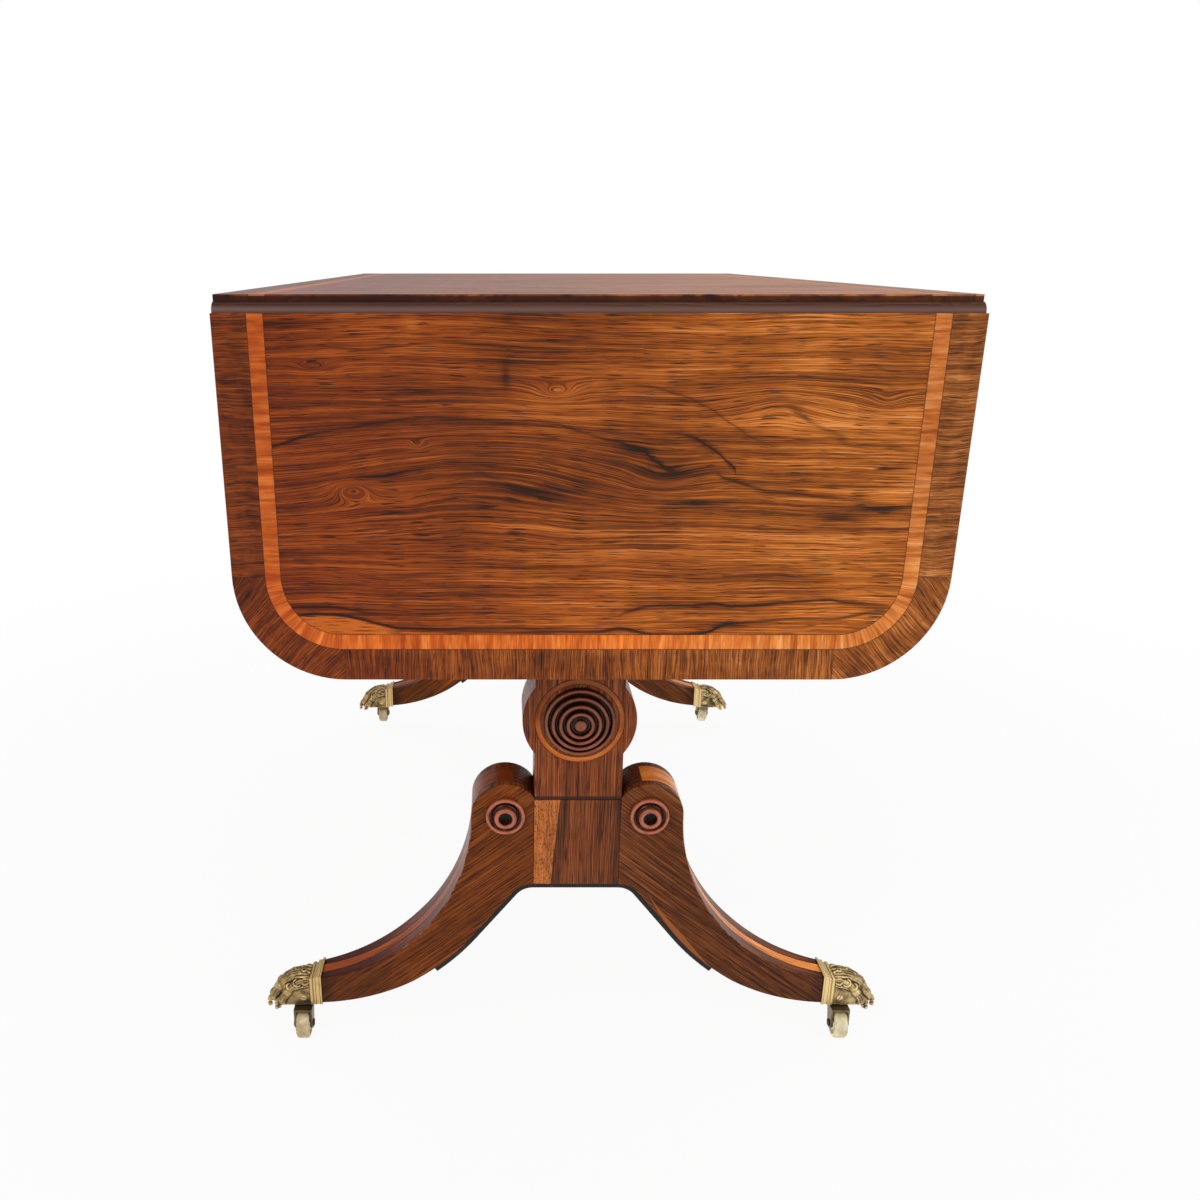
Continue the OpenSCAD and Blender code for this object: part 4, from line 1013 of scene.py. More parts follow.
@dataclass(frozen=True)
class BrassFinish:
    """Old brass: bright on its high parts and brown in its hollows, with a cast grain, and painted shade that
    darkens it on the left of the table.
    """

    bright: Colour = (0.90, 0.66, 0.31)
    brown: Colour = (0.055, 0.032, 0.010)
    roughness: float = 0.32
    grooves: tuple[float, ...] = (0.2499, 0.2522, 0.2564, 0.2594, 0.2628)
    cast: float = 0.00035

    def material(self, name: str) -> Material:
        """The finished material.

        Args:
            name: The material's name.

        Returns:
            The finished material.
        """
        shader = Shader(name)
        x = shader.position()[0]
        place = shader.point()
        hollows = shader.value("ShaderNodeNewGeometry", {}, {}, "Pointiness")
        grime = shader.noise(place, 140.0, 4.0, 0.6)
        blotch = shader.noise(place, 45.0, 3.0, 0.55)
        clean = (hollows.ease(0.45, 0.56) + (grime - 0.5) * 0.9 + (blotch - 0.5) * 1.1).ease(0.10, 0.95)
        colour = shader.mix(clean, self.brown, self.bright)
        grime_line: Value = abs(x).near(self.grooves[0], 0.0008)
        for groove in self.grooves[1:]:
            grime_line = grime_line.at_least(abs(x).near(groove, 0.0007))
        colour = shader.tint(colour, (0.16, 0.12, 0.09), grime_line * 0.75)
        # Painted shade: the brass on the left of the table is darker and browner
        colour = shader.tint(colour, (0.66, 0.58, 0.50), x.ease(-0.10, -0.26) * 0.7)
        sockets: dict[str, Input] = {
            "Base Color": colour,
            "Metallic": 0.55 + clean * 0.4,
            "Roughness": self.roughness + 0.30 - clean * 0.28,
            "Normal": shader.bump(shader.noise(place, 520.0, 3.0, 0.55), self.cast, 0.5),
        }
        return shader.surface(sockets)


@dataclass(frozen=True)
class IronFinish:
    """Blackened iron with a little brown rust."""

    black: Colour = (0.020, 0.018, 0.017)
    rust: Colour = (0.075, 0.032, 0.016)

    def material(self, name: str) -> Material:
        """The finished material.

        Args:
            name: The material's name.

        Returns:
            The finished material.
        """
        shader = Shader(name)
        place = shader.point()
        spots = shader.noise(place, 75.0, 5.0, 0.65)
        sockets: dict[str, Input] = {
            "Base Color": shader.mix(spots.ease(0.50, 0.70), self.black, self.rust),
            "Metallic": 0.6,
            "Roughness": 0.42 + spots * 0.3,
            "Normal": shader.bump(shader.noise(place, 600.0, 3.0, 0.6), 0.0003, 0.5),
        }
        return shader.surface(sockets)


# Pieces


def body_of(node: str) -> str:
    """The name of the body that a node belongs to."""
    bodies = frame["record"]["behaviour"]["bodies"]
    return next(body for body, nodes in bodies.items() if node in nodes)


def dress(node: str, material: Material) -> None:
    """Gives a node of the frame its material.

    Args:
        node: The node's name.
        material: Its finish.
    """
    piece = frame["nodes"][node]
    if not piece.material_slots:
        piece.data.materials.append(material)
    for place in piece.material_slots:
        place.material = material


def keep_mesh(mesh: Solid, name: str) -> bpy.types.Mesh:
    """Stores a bmesh under a name and frees it.

    Args:
        mesh: The bmesh.
        name: The mesh's name.

    Returns:
        The stored mesh.
    """
    data = bpy.data.meshes.new(name)
    mesh.to_mesh(data)
    mesh.free()
    return data


def add_object(name: str, data: bpy.types.ID) -> bpy.types.Object:
    """Adds an object to the scene.

    Args:
        name: The object's name.
        data: Its mesh, lamp or camera.

    Returns:
        The new object.
    """
    made = bpy.data.objects.new(name, data)
    bpy.context.scene.collection.objects.link(made)
    return made


def publish(
    mesh: Solid, name: str, material: Material, body: str,
) -> bpy.types.Object:
    """Turns a bmesh into a piece that rides on a body.

    Args:
        mesh: The shape in metres, in the table's frame; it is freed.
        name: The piece's name.
        material: Its finish.
        body: The body that it moves with.

    Returns:
        The new object.
    """
    data = keep_mesh(mesh, name)
    data.materials.append(material)
    piece = add_object(name, data)
    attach(piece, body)
    return piece


def smooth(mesh: Solid, angle: float = 40.0) -> None:
    """Shades faces smooth and keeps edges above an angle in degrees sharp.

    Args:
        mesh: The mesh.
        angle: The angle in degrees.
    """
    for face in mesh.faces:
        face.smooth = True
    for edge in mesh.edges:
        edge.smooth = len(edge.link_faces) == 2 and edge.calc_face_angle(0.0) < math.radians(angle)


def sharp_edges(mesh: Solid, angle: float) -> list[bmesh.types.BMEdge]:
    """The edges between two faces that meet at more than an angle in degrees."""
    limit = math.radians(angle)
    return [e for e in mesh.edges if len(e.link_faces) == 2 and e.calc_face_angle(0.0) > limit]


def round_edges(
    mesh: Solid, edges: Iterable[bmesh.types.BMEdge], width: float, segments: int = 2,
    clamp: bool = True,
) -> None:
    """Rounds edges to a width in metres, and no further than their faces allow if clamp is set.

    Args:
        mesh: The mesh.
        edges: The edges to round.
        width: How wide the rounding is.
        segments: Its number of steps.
        clamp: Whether the faces limit it.
    """
    bmesh.ops.bevel(
        mesh, geom=list(edges), offset=width, offset_type="OFFSET", affect="EDGES", segments=segments,
        profile=0.5, material=-1, clamp_overlap=clamp,
    )


def whole(mesh: Solid) -> list[Union[bmesh.types.BMVert, bmesh.types.BMEdge, bmesh.types.BMFace]]:
    """Everything that a mesh is made of."""
    return mesh.verts[:] + mesh.edges[:] + mesh.faces[:]


def new_verts(made: Mapping[str, Sequence[object]]) -> list[bmesh.types.BMVert]:
    """The vertices that an extrusion has made."""
    return [v for v in made["geom"] if isinstance(v, bmesh.types.BMVert)]


def move(mesh: Solid, matrix: Matrix) -> None:
    """Moves a whole mesh."""
    bmesh.ops.transform(mesh, matrix=matrix, verts=mesh.verts)


def eased_copy(
    node: str, width: float, material: Material,
) -> bpy.types.Object:
    """Stands for a node with a copy of it whose arrises are rounded.

    Args:
        node: The node's name.
        width: Width of the rounding in metres.
        material: The finish.

    Returns:
        The copy.
    """
    mesh = bmesh.new()
    mesh.from_mesh(frame["nodes"][node].data)
    bmesh.ops.remove_doubles(mesh, verts=mesh.verts, dist=0.000005)
    bmesh.ops.dissolve_limit(mesh, angle_limit=math.radians(0.4), verts=mesh.verts, edges=mesh.edges)
    round_edges(mesh, sharp_edges(mesh, 35.0), width)
    smooth(mesh, 50.0)
    piece = publish(mesh, f"{node}_eased", material, body_of(node))
    weights = piece.modifiers.new("EvenShading", "WEIGHTED_NORMAL")
    weights.keep_sharp = True
    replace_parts(piece, node)
    return piece


def turn(profile: Sequence[Flat], steps: int) -> Solid:
    """Spins a profile of radii and heights in millimetres about Z into a closed solid.

    Args:
        profile: The radii and heights.
        steps: The number of steps of the full turn.

    Returns:
        The new bmesh in metres.
    """
    mesh = bmesh.new()
    points = [mesh.verts.new((radius * MM, 0.0, height * MM)) for radius, height in profile]
    line = [mesh.edges.new(pair) for pair in zip(points, points[1:])]
    bmesh.ops.spin(
        mesh, geom=points + line, cent=(0, 0, 0), axis=(0, 0, 1), angle=math.tau, steps=steps, use_merge=True,
    )
    bmesh.ops.remove_doubles(mesh, verts=mesh.verts, dist=0.000002)
    bmesh.ops.recalc_face_normals(mesh, faces=mesh.faces)
    smooth(mesh, 60.0)
    return mesh


def arc(centre: Flat, radius: float, start: float, stop: float, steps: int) -> list[Flat]:
    """Points of a profile's bead or hollow, with its angles in degrees."""
    angles = [math.radians(start + (stop - start) * i / steps) for i in range(steps + 1)]
    return [(centre[0] + radius * math.cos(a), centre[1] + radius * math.sin(a)) for a in angles]


def facing(place: Vector, end: int) -> Matrix:
    """Puts a piece drawn along Z at a place on a standard's outer face."""
    return Matrix.Translation(place) @ Matrix.Rotation(math.radians(-90.0 * end), 4, "X")


@dataclass
class Screws:
    """Slotted screw heads. All but their number of sides is a share of a head's radius."""

    steel: Material
    count: int = 0
    sides: int = 28
    slot: float = 0.13
    height: float = 0.22
    rounding: float = 0.07
    floor: Flat = (0.97, 0.06)

    def drive(
        self, place: Vector, direction: Vector, radius: float, body: str, angle: float,
        finish_slot: str = "iron", material: Optional[Material] = None,
    ) -> None:
        """Sets one screw with its head's face at a place.

        Args:
            place: The middle of the head's seat.
            direction: The way that the head faces.
            radius: Radius of the head in metres.
            body: The body that it moves with.
            angle: How far the slot is turned, in degrees.
            finish_slot: The record's material slot; not used.
            material: Another finish than blackened iron.
        """
        mesh = bmesh.new()
        bmesh.ops.create_circle(mesh, cap_ends=True, segments=self.sides, radius=radius)
        bmesh.ops.bisect_plane(
            mesh, geom=whole(mesh), plane_co=(radius * self.slot, 0, 0), plane_no=(1, 0, 0), clear_inner=True,
        )
        risen = new_verts(bmesh.ops.extrude_face_region(mesh, geom=mesh.faces[:]))
        bmesh.ops.translate(mesh, verts=risen, vec=(0, 0, radius * self.height))
        rim = [e for e in mesh.edges if all(v.co.z > radius * self.height / 2 for v in e.verts)]
        round_edges(mesh, rim, radius * self.rounding, clamp=False)
        bmesh.ops.mirror(mesh, geom=whole(mesh), axis="X", merge_dist=0.0)
        inner, level = self.floor
        floor = bmesh.ops.create_circle(mesh, cap_ends=True, segments=self.sides, radius=radius * inner)
        bmesh.ops.translate(mesh, verts=floor["verts"], vec=(0, 0, radius * level))
        bmesh.ops.recalc_face_normals(mesh, faces=mesh.faces)
        smooth(mesh, 35.0)
        upright = direction.to_track_quat("Z", "Y").to_matrix().to_4x4()
        move(mesh, Matrix.Translation(place) @ upright @ Matrix.Rotation(math.radians(angle), 4, "Z"))
        self.count += 1
        publish(mesh, f"screw_{self.count:02d}", material or self.steel, body)


@dataclass
class TopAssembly:
    """The top, its two leaves, their bands and the hinges of the rule joints."""

    screws: Screws
    iron: Material
    hinge_x: float = 0.190
    short_flap_y: float = 0.4535
    long_flap_y: float = 0.473
    under_z: float = 0.703
    axis_z: float = 0.7075
    short_flap_screws: tuple[float, ...] = (-0.015, 0.015)
    long_flap_screws: tuple[Flat, ...] = ((-0.015, 0.022), (0.015, 0.022), (0.0, 0.050))
    screw_r: float = 0.0032
    arris: float = 0.0007

    def build(self) -> None:
        """Dresses the boards and bands and screws the hinges down."""
        eased_copy("top_panel", self.arris, VeneeredTop(False, 1.3).material("top_veneer"))
        dress("top_inlay", CrossBand(False).material("top_band"))
        for end, seed in (("near", 0.0), ("far", 7.0)):
            eased_copy(f"{end}_leaf", self.arris, VeneeredTop(True, seed).material(f"{end}_leaf_veneer"))
            dress(f"{end}_leaf_inlay", CrossBand(True).material(f"{end}_leaf_band"))
            dress(f"{end}_hinge_leaf_flaps", self.iron)
        dress("hinge_fixed_flaps", self.iron)
        dress("hinge_pins", self.iron)
        self.screw_hinges()

    def screw_hinges(self) -> None:
        """Two screws in each short flap and three in each long one."""
        for end in (-1, 1):
            leaf = "near_leaf" if end < 0 else "far_leaf"
            for x in (-self.hinge_x, self.hinge_x):
                for across in self.short_flap_screws:
                    place = Vector((x + across, end * self.short_flap_y, self.under_z))
                    self.screws.drive(place, Vector((0, 0, -1)), self.screw_r, "root", 40.0 + 900.0 * across)
                for across, down in self.long_flap_screws:
                    place = Vector((x + across, end * self.long_flap_y, self.axis_z - down))
                    self.screws.drive(place, Vector((0, -end, 0)), self.screw_r, leaf, 15.0 + 700.0 * across)


@dataclass
class Frieze:
    """Rails, drawers, dummy fronts, knobs, bearers and fly brackets under the top."""

    iron: Material
    fronts: tuple[str, ...] = ("near_drawer_front", "far_drawer_front", "dummy_fronts")
    knob_y: float = 0.118
    knob_z: float = 0.655
    frieze_x: float = 0.268
    drawer_y: float = 0.2085
    front_arris: float = 0.0004
    divider_arris: float = 0.0005
    rail_arris: float = 0.0006
    end_arris: float = 0.0008
    bearer_arris: float = 0.0015

    def build(self) -> None:
        """Dresses every node of the frieze and turns the knobs."""
        veneer_long = self.veneer("rail_veneer", Axis.ALONG_TABLE, 2.0)
        veneer_end = self.veneer("end_rail_veneer", Axis.ACROSS_TABLE, 6.0)
        for node in ("back_rail", "drawer_rails"):
            eased_copy(node, self.rail_arris, veneer_long)
        for node in ("near_end_rail", "far_end_rail"):
            eased_copy(node, self.end_arris, veneer_end)
        for node in self.fronts:
            veneer = self.veneer(f"{node}_veneer", Axis.ALONG_TABLE, float(len(node)))
            eased_copy(node, self.front_arris, veneer)
        eased_copy("drawer_divider", self.divider_arris, self.veneer("divider_veneer", Axis.UPRIGHT, 3.0))
        oak = BoardFinish(OAK, Axis.ACROSS_TABLE, BARE).material("drawer_oak")
        for node in ("near_drawer_box", "near_drawer_bottom", "far_drawer_box", "far_drawer_bottom"):
            eased_copy(node, self.rail_arris, oak)
        dress("drawer_runners", oak)
        mahogany = BoardFinish(MAHOGANY, Axis.ACROSS_TABLE, WAXED).material("bearer_mahogany")
        eased_copy("cross_bearers", self.bearer_arris, mahogany)
        self.fit_brackets()
        self.turn_knobs()

    def veneer(self, name: str, axis: Axis, seed: float) -> Material:
        """Rosewood veneer with its grain along an axis."""
        return BoardFinish(ROSEWOOD, axis, seed=seed).material(name)

    def fit_brackets(self) -> None:
        """Dresses the fly brackets, their blocks and their pins."""
        beech = BoardFinish(BEECH, Axis.ACROSS_TABLE, BARE, seed=1.0).material("bracket_beech")
        for corner in Corner:
            eased_copy(f"{corner.label}_bracket", self.end_arris, beech)
        eased_copy("bracket_blocks", self.end_arris, beech)
        dress("bracket_pins", self.iron)

    def turn_knobs(self) -> None:
        """Turns eight knobs with a collar, a waist and a domed head."""
        profile = [(0.0, -14.0), (3.9, -14.0), (3.9, 0.0), (9.5, 0.0)]
        profile += arc((8.3, 1.5), 1.5, -60.0, 90.0, 5) + [(7.2, 3.0)]
        profile += arc((11.6, 8.2), 6.2, 210.0, 140.0, 7)
        profile += [(9.2, 14.6)] + arc((10.0, 18.6), 4.0, -95.0, 62.0, 9)
        profile += [(9.0, 24.0), (6.0, 25.2), (3.0, 25.8), (0.0, 26.0)]
        rows = ((1, ("near_drawer_knobs", "far_drawer_knobs")), (-1, ("dummy_knobs", "dummy_knobs")))
        for side, nodes in rows:
            for end, node in zip((-1, 1), nodes):
                for across in (-self.knob_y, self.knob_y):
                    y = end * self.drawer_y + across
                    finish = self.knob_finish(y, side)
                    mesh = turn(profile, 48)
                    tilt = Matrix.Rotation(math.radians(90.0 * side), 4, "Y")
                    place = Matrix.Translation((side * self.frieze_x, y, self.knob_z))
                    move(mesh, place @ tilt)
                    name = f"knob_{'right' if side > 0 else 'left'}_{round(y * 1000) + 500:03d}"
                    piece = publish(mesh, name, finish, body_of(node))
                    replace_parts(piece, node)

    def knob_finish(self, y: float, side: int) -> Material:
        """Turned rosewood with its rings centred on one knob.

        Args:
            y: The knob's place along the table in metres.
            side: 1 at the front, -1 at the back.

        Returns:
            The finished material.
        """
        shader = Shader(f"knob_polish_{'r' if side > 0 else 'l'}{round(y * 1000) + 500:03d}")
        x, place_y, z = shader.position()
        a, b = place_y - y, z - self.knob_z
        radius = distance(a, b)
        colour, height = DARK_ROSEWOOD.lay(shader, (b, a, x), 3.0 + y * 9.0)
        crest = radius.near(0.0115, 0.003) * 0.5
        return FRENCH_POLISH.close(shader, shader.mix(crest, colour, (0.30, 0.11, 0.05)), height)


@dataclass
class Standard:
    """Both end standards: posts, blocks, rings, turned bosses, roundels and legs."""

    screws: Screws
    face_y: float = 0.410
    ear_z: float = 0.351
    scroll: Flat = (0.067, 0.2555)
    panel_end: float = 0.060
    post_arris: float = 0.0008
    leg_arris: float = 0.0011
    boss_ridges: tuple[float, ...] = (30.4, 24.3, 17.7, 11.2)
    boss_heights: tuple[float, ...] = (3.2, 6.2, 8.6, 10.2)

    def build(self) -> None:
        """Dresses both standards and adds what the lathe made."""
        post = PostFinish()
        for end in ("near", "far"):
            eased_copy(f"{end}_post", self.post_arris, post.material(f"{end}_post_veneer"))
        eased_copy("standard_blocks", self.post_arris, BlockFinish().material("block_veneer"))
        for corner in Corner:
            leg = f"{corner.label}_leg"
            eased_copy(leg, self.leg_arris, LegFinish(corner).material(f"{leg}_veneer"))
        dress("ear_rings", self.ring_band())
        dress("leg_inlays", self.leg_band())
        rosewood = BoardFinish(DARK_ROSEWOOD, Axis.ALONG_TABLE, seed=9.0).material("stretcher_rosewood")
        dress("stretcher", rosewood)
        self.turn_bosses()
        self.turn_roundels()

    def ring_band(self) -> Material:
        """The ring round a boss: pieces of light wood set end to end, browned by handling.

        Returns:
            The finished material.
        """
        shader = Shader("ring_satinwood")
        x, _, z = shader.position()
        a, b = x, z - self.ear_z
        radius = distance(a, b)
        turn = shader.math("ARCTAN2", a, b)
        colour, height = SATINWOOD.lay(shader, (turn * 0.038, radius, radius * 0.0), 3.0)
        tan = shader.noise(shader.vector(a * 22.0, b * 22.0, 0.0), 1.0, 3.0, 0.6)
        brown = (tan + b * 6.0).ease(0.30, 0.60)
        colour = shader.tint(colour, (0.36, 0.27, 0.30), brown * 0.6 + 0.2)
        line = radius.near(0.0359, 0.0007).at_least(radius.near(0.0404, 0.0006))
        colour = shader.mix(line * 0.8, colour, (0.016, 0.006, 0.003))
        return FRENCH_POLISH.close(shader, colour, height - line * 0.5)

    def leg_band(self) -> Material:
        """The light band and panel of the legs, orange-brown and straight in the grain, in painted shade on
        the left legs and with a painted reflection on the right ones.

        Returns:
            The finished material.
        """
        shader = Shader("leg_satinwood")
        x, y, z = shader.position()
        along = abs(x) - z
        colour, height = SATINWOOD.lay(shader, (along, abs(y), abs(x) + z), 6.0)
        on_scroll = z.ease(self.scroll[1] - 0.002, self.scroll[1] + 0.002)
        # Painted shade on the left legs, deeper and redder
        colour = shader.tint(colour, (0.50, 0.36, 0.14), x.ease(0.0, -0.02))
        # Painted reflection on the right legs, much paler
        colour = shader.tint(colour, (1.45, 1.95, 3.0), x.ease(0.0, 0.02))
        # Painted shade darkens the scroll panels of the left legs
        colour = shader.tint(colour, (0.50, 0.44, 0.36), on_scroll * x.ease(0.02, 0.0) * 0.6)
        inner, _ = DARK_ROSEWOOD.lay(shader, (abs(x), abs(y), z), 2.0)
        colour = shader.mix(on_scroll * abs(x).ease(self.panel_end + 0.0006, self.panel_end), colour, inner)
        return LEG_POLISH.close(shader, colour, height)

    def turn_bosses(self) -> None:
        """Two bosses with four round ridges that rise to a button."""
        profile = [(0.0, -9.0), (5.5, -9.0), (5.5, 0.0), (32.5, 0.0), (32.5, 1.2)]
        for radius, height in zip(self.boss_ridges, self.boss_heights):
            profile += arc((radius, height), 1.9, -35.0, 215.0, 14)
            profile += arc((radius - 3.2, height - 1.6), 1.5, -20.0, -160.0, 6)
        profile += [(7.0, 8.0)] + arc((3.6, 9.8), 2.4, -35.0, 88.0, 8) + [(0.0, 12.3)]
        finish = TurnedFinish((0.0, self.ear_z), tuple(r * MM for r in self.boss_ridges), button=0.0046)
        polish = finish.material("boss_polish")
        for end, label in ((-1, "near"), (1, "far")):
            mesh = turn(profile, 128)
            place = facing(Vector((0, end * self.face_y, self.ear_z)), end)
            move(mesh, place)
            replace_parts(publish(mesh, f"{label}_boss", polish, "root"), "ear_bosses")

    def turn_roundels(self) -> None:
        """Four roundels: a ring, a deep groove and a cup with a screw in it."""
        profile = [(0.0, -9.0), (3.6, -9.0), (3.6, 0.0), (17.6, 0.0), (18.2, 1.2)]
        profile += arc((16.5, 3.0), 1.75, -20.0, 200.0, 12) + [(14.3, 1.0), (13.2, 0.9)]
        profile += arc((14.6, 6.4), 4.2, 238.0, 196.0, 6) + arc((8.1, 6.4), 2.5, -10.0, 170.0, 12)
        profile += [(5.3, 5.0), (5.1, 2.0), (0.0, 1.8)]
        # The roundels' brighter crest is rubbed wood with a painted highlight on it
        finish = TurnedFinish(self.scroll, (0.0166, 0.0085), 0.0033, crest=(0.58, 0.160, 0.082))
        polish = finish.material("roundel_polish")
        for corner in Corner:
            mesh = turn(profile, 96)
            seat = Vector((corner.side * self.scroll[0], corner.end * self.face_y, self.scroll[1]))
            move(mesh, facing(seat, corner.end))
            piece = publish(mesh, f"{corner.label}_roundel", polish, "root")
            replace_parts(piece, "scroll_roundels")
            head = seat + Vector((0, corner.end * 0.0018, 0))
            self.screws.drive(head, Vector((0, corner.end, 0)), 0.0040, "root", 60.0 + 70.0 * corner.side)


@dataclass(frozen=True)
class Lock:
    """A raised lock of fur on a paw: a tapering strand through points, in millimetres."""

    points: tuple[Place, ...]
    thick: float
    thin: float

    @staticmethod
    def curl(centre: Place, size: float, side: int, tilt: float, turns: float = 1.2) -> "Lock":
        """A lock that rolls up round a centre on the paw's shoulder.

        Args:
            centre: Middle of the curl.
            size: Radius of its outer turn.
            side: The side of the paw, 1 or -1.
            tilt: How far its plane leans back from upright, in degrees.
            turns: How often it goes round.

        Returns:
            The lock.
        """
        points = []
        steps = 14
        for i in range(steps + 1):
            share = i / steps
            angle = math.radians(200.0) + share * turns * math.tau
            reach = size * (1.0 - 0.78 * share)
            up = reach * math.sin(angle)
            x = centre[0] + reach * math.cos(angle)
            y = centre[1] + side * -up * math.sin(math.radians(tilt))
            points.append((x, y, centre[2] + up * math.cos(math.radians(tilt))))
        return Lock(tuple(points), 1.35, 0.9)

    @staticmethod
    def strand(start: Place, stop: Place, rise: float, sway: float) -> "Lock":
        """A wavy lock that runs over the instep between two points.

        Args:
            start: Where it starts, in millimetres.
            stop: Where it ends.
            rise: How far it lifts between them.
            sway: How far it waves to the sides.

        Returns:
            The lock.
        """
        points = []
        steps = 12
        for i in range(steps + 1):
            share = i / steps
            place = [a + (b - a) * share for a, b in zip(start, stop)]
            place[2] += rise * math.sin(share * math.pi)
            place[1] += sway * math.sin(share * math.tau)
            points.append(tuple(place))
        return Lock(tuple(points), 1.5, 0.8)

    def lay(self, mesh: Solid) -> None:
        """Draws the lock into a mesh as a closed tube.

        Args:
            mesh: The mesh that it is added to, in millimetres.
        """
        route = [Vector(point) for point in self.points]
        ring: list[bmesh.types.BMVert] = []
        for i, here in enumerate(route):
            ahead = (route[min(i + 1, len(route) - 1)] - route[max(i - 1, 0)]).to_track_quat("Z", "Y")
            radius = self.thick + (self.thin - self.thick) * i / (len(route) - 1)
            target = Matrix.Translation(here) @ ahead.to_matrix().to_4x4() @ Matrix.Scale(radius, 4)
            if not ring:
                ring = bmesh.ops.create_circle(mesh, cap_ends=True, segments=10, radius=1.0)["verts"]
                bmesh.ops.transform(mesh, matrix=target, verts=ring)
            else:
                rim = [e for e in mesh.edges if e.verts[0] in set(ring) and e.verts[1] in set(ring)]
                ring = new_verts(bmesh.ops.extrude_edge_only(mesh, edges=rim))
                bmesh.ops.transform(mesh, matrix=target @ before.inverted(), verts=ring)
            before = target
        bmesh.ops.contextual_create(mesh, geom=ring)


@dataclass
class Castors:
    """Paw caps cast in brass, with their forks, wheels and axles."""

    screws: Screws
    brass: Material
    wheel_brass: Material
    fork_brass: Material
    iron: Material
    standard_y: float = 0.386
    toe_x: float = 250.0
    cheek: float = 12.8
    screw_x: float = 0.2695
    screw_z: float = 0.0438
    screw_r: float = 0.0031
    voxel: float = 0.00055

    def build(self) -> None:
        """Casts the paws and dresses the running parts."""
        for corner in Corner:
            dress(f"{corner.label}_fork", self.fork_brass)
            dress(f"{corner.label}_wheel", self.wheel_brass)
            dress(f"{corner.label}_axle", self.iron)
        paw = self.sculpt()
        for corner in Corner:
            self.cast(paw, corner)
        bpy.data.meshes.remove(paw)

    def ball(self, mesh: Solid, centre: Place, size: Place, lean: float) -> None:
        """Adds a rounded mass of flesh, its axes in millimetres, leaning forward by an angle.

        Args:
            mesh: The mesh that it is added to, in millimetres.
            centre: Its middle.
            size: Its three half axes.
            lean: The angle in degrees.
        """
        made = bmesh.ops.create_uvsphere(mesh, u_segments=32, v_segments=20, radius=1.0)["verts"]
        leaned = Matrix.Rotation(math.radians(lean), 4, "Y") @ Matrix.Diagonal((*size, 1.0))
        bmesh.ops.transform(mesh, matrix=Matrix.Translation(centre) @ leaned, verts=made)

    def sculpt(self) -> bpy.types.Mesh:
        """Models the paw of a right leg: cheeks, instep, toes, claws and fur.

        Returns:
            The paw's mesh in metres, its middle plane at Y = 0.
        """
        mesh = bmesh.new()
        self.cut_cheeks(mesh)
        self.ball(mesh, (271.0, 0.0, 52.0), (19.0, 12.6, 17.0), 8.0)
        self.ball(mesh, (282.0, 0.0, 49.8), (17.5, 12.0, 14.2), 12.0)
        for side in (-1, 1):
            self.add_toe(mesh, (0.0, side * 4.9), side, 1.0)
            self.add_toe(mesh, (-7.8, side * 11.0), side, 0.9)
        for lock in self.fur():
            lock.lay(mesh)
        bmesh.ops.scale(mesh, vec=(MM, MM, MM), verts=mesh.verts)
        bmesh.ops.recalc_face_normals(mesh, faces=mesh.faces)
        return self.fuse(keep_mesh(mesh, "paw_flesh"))

    def cut_cheeks(self, mesh: Solid) -> None:
        """The paw's flat sides, cut to their outline, and its nose, which hangs lower past the castor.

        Args:
            mesh: The mesh that it is added to, in millimetres.
        """
        sides = (
            (260.5, 36.0), (260.5, 65.0), (267.0, 66.5), (274.0, 62.5), (281.0, 56.0), (288.0, 49.5),
            (295.0, 41.5), (295.8, 34.8), (275.0, 34.8),
        )
        nose = ((292.2, 38.0), (294.5, 41.0), (296.5, 36.5), (295.8, 30.8), (293.0, 31.2))
        for outline in (sides, nose):
            corners = [mesh.verts.new((x, -self.cheek, z)) for x, z in outline]
            face = bmesh.ops.contextual_create(mesh, geom=corners)["faces"]
            verts = new_verts(bmesh.ops.extrude_face_region(mesh, geom=face))
            bmesh.ops.translate(mesh, verts=verts, vec=(0, 2 * self.cheek, 0))

    def add_toe(self, mesh: Solid, place: Flat, side: int, size: float) -> None:
        """One toe: a long bent finger with a knuckle, and a blunt claw that curls down.

        Args:
            mesh: The mesh that it is added to, in millimetres.
            place: How far it is moved forward and to its side.
            side: Which side it is on.
            size: Its share of the full size.
        """
        x, y = place
        less = 1.0 - size
        finger = [
            (264.0, 63.5), (272.0, 64.6), (280.0, 62.6), (287.5, 57.6), (293.6, 51.0), (297.6, 44.6),
            (299.2, 40.0),
        ]
        points = tuple((a + x, y * (0.80 + 0.04 * i), b - 20.0 * less) for i, (a, b) in enumerate(finger))
        Lock(points, 4.6 * size, 4.9 * size).lay(mesh)
        self.ball(mesh, (293.0 + x, y, 52.0 - 26.0 * less), (5.8 * size, 5.2 * size, 5.4 * size), 35.0)
        self.ball(mesh, (299.0 + x, y, 40.6 - 6.0 * less), (5.0 * size, 5.0 * size, 5.8 * size), 10.0)
        reach = [(301.6, 40.5), (303.8, 38.8), (305.0, 35.8), (305.2, 32.4), (304.6, 30.0)]
        points = tuple((a + x, y + side * 0.15 * i, b) for i, (a, b) in enumerate(reach))
        Lock(points, 3.3 * size, 2.4 * size).lay(mesh)

